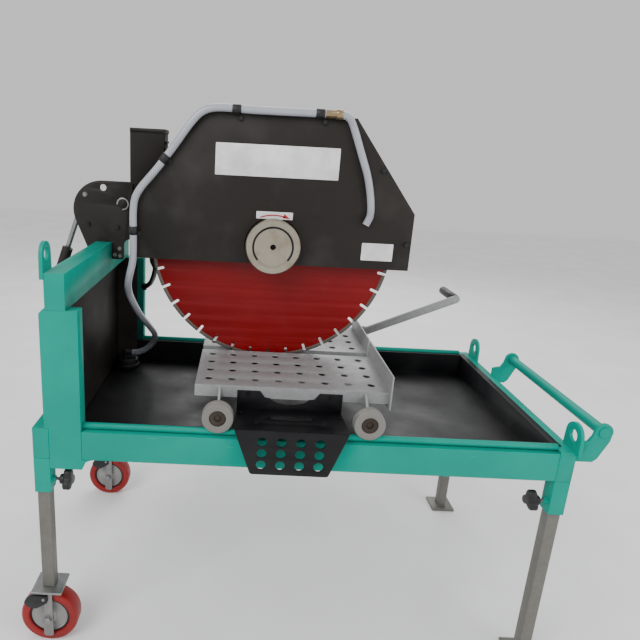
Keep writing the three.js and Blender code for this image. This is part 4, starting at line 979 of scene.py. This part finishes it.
def add_push_bracket():
    """The dark folded bracket at the cart's front: ears, a shelf with an oval and a drilled apron."""
    left, right, back, shelf, front, sheet = -74, 180, 77.7, 36, -28, 3
    middle = (left + right) / 2
    notch = [(right - 55, 85), (right - 67, 69)]
    for k in range(1, 15):
        angle = math.radians(12 * k)
        notch.append((middle + 47 * math.cos(angle), 71 - 19 * math.sin(angle)))
    notch += [(left + 67, 69), (left + 55, 85)]
    ears = [(left, 33), (right, 33), (right, 85), *notch, (left, 85)]
    pieces = [plate("ears", "XZ", ears, [], back - sheet, back, 0.8)]
    oval = []
    for k in range(36):
        angle = math.radians(10 * k)
        oval.append((middle + 4 + 52 * math.cos(angle), 38 + 13 * math.sin(angle)))
    holes = [oval, ring(left + 46, 8, 5, 16), ring(right - 44, 8, 5, 16)]
    outline = rounded([(left - 4, front), (right + 4, front), (right, back), (left, back)], 2)
    pieces.append(plate("shelf", "XY", outline, holes, shelf - sheet, shelf, 0.8))
    apron = rounded([(left - 4, shelf), (left + 37, -75), (right - 37, -75), (right + 4, shelf)], 6)
    holes = [ring(middle + (i - 1.5) * 44, 8 - 29 * k, 11, 28) for i in range(4) for k in range(3)]
    pieces.append(plate("apron", "XZ", apron, holes, front - sheet, front, 0.8))
    dark = "bracket_paint"
    finish_piece(joined("bracket_sheet", pieces), dark, "cart", "push_bracket")
    bolts("bracket_bolts", "cart", [(-64, 54, shelf), (171, 46, shelf)], (0, 0, 1), 6, dark)
    bolts("ear_bolts", "cart", [(-47, back - sheet, 77), (153, back - sheet, 76)], (0, -1, 0), 6, dark)


# ---------------------------------------------------------------- stand
def add_stand():
    for node in ("front_rail", "rear_rail", "left_rail", "right_rail"):
        dress(node, "green_paint", 0.0012)
    for node in ("front_column", "rear_column", "top_beam", "carry_handle"):
        dress(node, "green_paint", 0.002, 3)
    for node in ("front_track_bar", "rear_track_bar"):
        dress(node, "green_paint", 0.001)
    dress("splash_panel", "black_paint", 0.0008)
    dress("water_pump", "black_plastic", 0.0015)
    dress("water_tray", "tray_black", 0.0008)
    for corner in CORNERS:
        dress("leg_socket_" + corner, "green_paint", 0.0012)
        dress("inner_leg_" + corner, "leg_steel", 0.002, 3)
    add_knobs()
    for side in ("front", "rear"):
        add_caster(side)


def face_inward(piece, root, inward):
    """Mirrors a piece across the plane X = root when inward is negative."""
    if inward > 0:
        return
    flip = Matrix.Scale(-1, 4, (1, 0, 0))
    piece.data.transform(Matrix.Translation((root, 0, 0)) @ flip @ Matrix.Translation((-root, 0, 0)))
    clean(piece)


KNOB_Z = -141
KNOB_ROOT_LEFT_X = -505
KNOB_ROOT_RIGHT_X = 686


def knob_grip(root, y, z, inward):
    """The three-lobed grip, which narrows towards both of its faces."""
    outline = []
    for k in range(72):
        angle = 2 * math.pi * k / 72
        radius = 20.5 + 6.3 * math.cos(3 * (angle - math.pi / 2))
        outline.append((radius * math.cos(angle), radius * math.sin(angle)))
    points = []
    rows = [(27, 0.86), (28.5, 0.96), (31, 1.0), (43, 1.0), (45.4, 0.93), (46, 0.8)]
    for along, scale in rows:
        size = scale * MM
        points += [Vector((root + inward * along * MM, y + a * size, z + b * size)) for a, b in outline]
    count = len(outline)
    faces = []
    for row in range(0, (len(rows) - 1) * count, count):
        for k in range(count):
            n = (k + 1) % count
            faces.append((row + k, row + n, row + count + n, row + count + k))
    faces += [tuple(range(count)), tuple(range((len(rows) - 1) * count, len(rows) * count))]
    grip = mesh_piece("grip", points, faces)
    clean(grip)
    return grip


def add_knobs():
    """Three-lobed clamping knobs on threaded stems."""
    thread = [(0, -3), (4, -3)]
    for k in range(16):
        thread += [(4, -2 + 1.25 * k), (3.4, -1.4 + 1.25 * k)]
    thread += [(4, 18), (0, 18)]
    for corner in CORNERS:
        inward = 1 if corner.endswith("left") else -1
        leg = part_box("inner_leg_" + corner)
        y = (leg[0].y + leg[1].y) / 2
        z = at(0, 0, KNOB_Z).z
        root = at(KNOB_ROOT_LEFT_X if inward > 0 else KNOB_ROOT_RIGHT_X, 0, 0).x
        grip = knob_grip(root, y, z, inward)
        hub = turned("hub", [(0, 17), (10, 17), (12, 19), (12, 30), (0, 30)], (root, y, z), 32, "X")
        face_inward(hub, root, inward)
        knob = joined("knob_grip_" + corner, [grip, hub])
        finish_piece(smooth(knob, 40), "black_plastic", "knob_" + corner, "leg_knob_" + corner)
        stem = turned("knob_stem_" + corner, thread, (root, y, z), 20, "X")
        face_inward(stem, root, inward)
        finish_piece(stem, "plain_steel", "knob_" + corner)


CASTER_X = -524
CASTER_Z = -528


def add_caster(side):
    """A caster: red tyre, dished hub with a ring of painted shadow round it, fork, brake and axle nut."""
    y = BAR_FRONT_Y if side == "front" else BAR_REAR_Y
    centre = at(CASTER_X, y, CASTER_Z)
    tread = [
        (50, -18), (51, -20), (54, -22), (66, -22), (70, -19.5), (72, -14), (72, 14), (70, 19.5), (66, 22),
        (54, 22), (51, 20), (50, 18), (50, -18),
    ]
    rubber = turned("tyre_" + side, tread, centre, 80)
    finish_piece(rubber, "caster_red", "caster_wheel_" + side, "caster_wheel_" + side)
    disc = [(7.5, -23), (15, -23.6), (17, -22), (20, -15), (26, -13), (40, -13), (44, -16), (45, -16.5)]
    outline = disc + [(r, -y) for r, y in reversed(disc)] + [disc[0]]
    finish_piece(turned("hub_" + side, outline, centre, 64), "hub_grey", "caster_wheel_" + side)
    # A black band between hub and tyre: painted shadow where the hub sits below the tread.
    gap = [(45, -15.5), (50, -15.5), (50, 15.5), (45, 15.5), (45, -15.5)]
    finish_piece(turned("hub_shadow_ring_" + side, gap, centre, 64), "black_plastic", "caster_wheel_" + side)
    dress("caster_fork_" + side, "plain_steel", 0.001)
    dress("caster_brake_" + side, "black_plastic", 0.0015, 3)
    nut = hex_bolt("axle_nut_" + side, (CASTER_X, y - 29, CASTER_Z), (0, -1, 0), 11)
    finish_piece(nut, "plain_steel", "leg_" + side + "_left")


MATERIALS = make_materials()
make_camera()
make_studio()
add_hoses()
add_motor_cable()
add_hose_clamps()
add_stand()
add_pivot()
add_cart()
add_head()
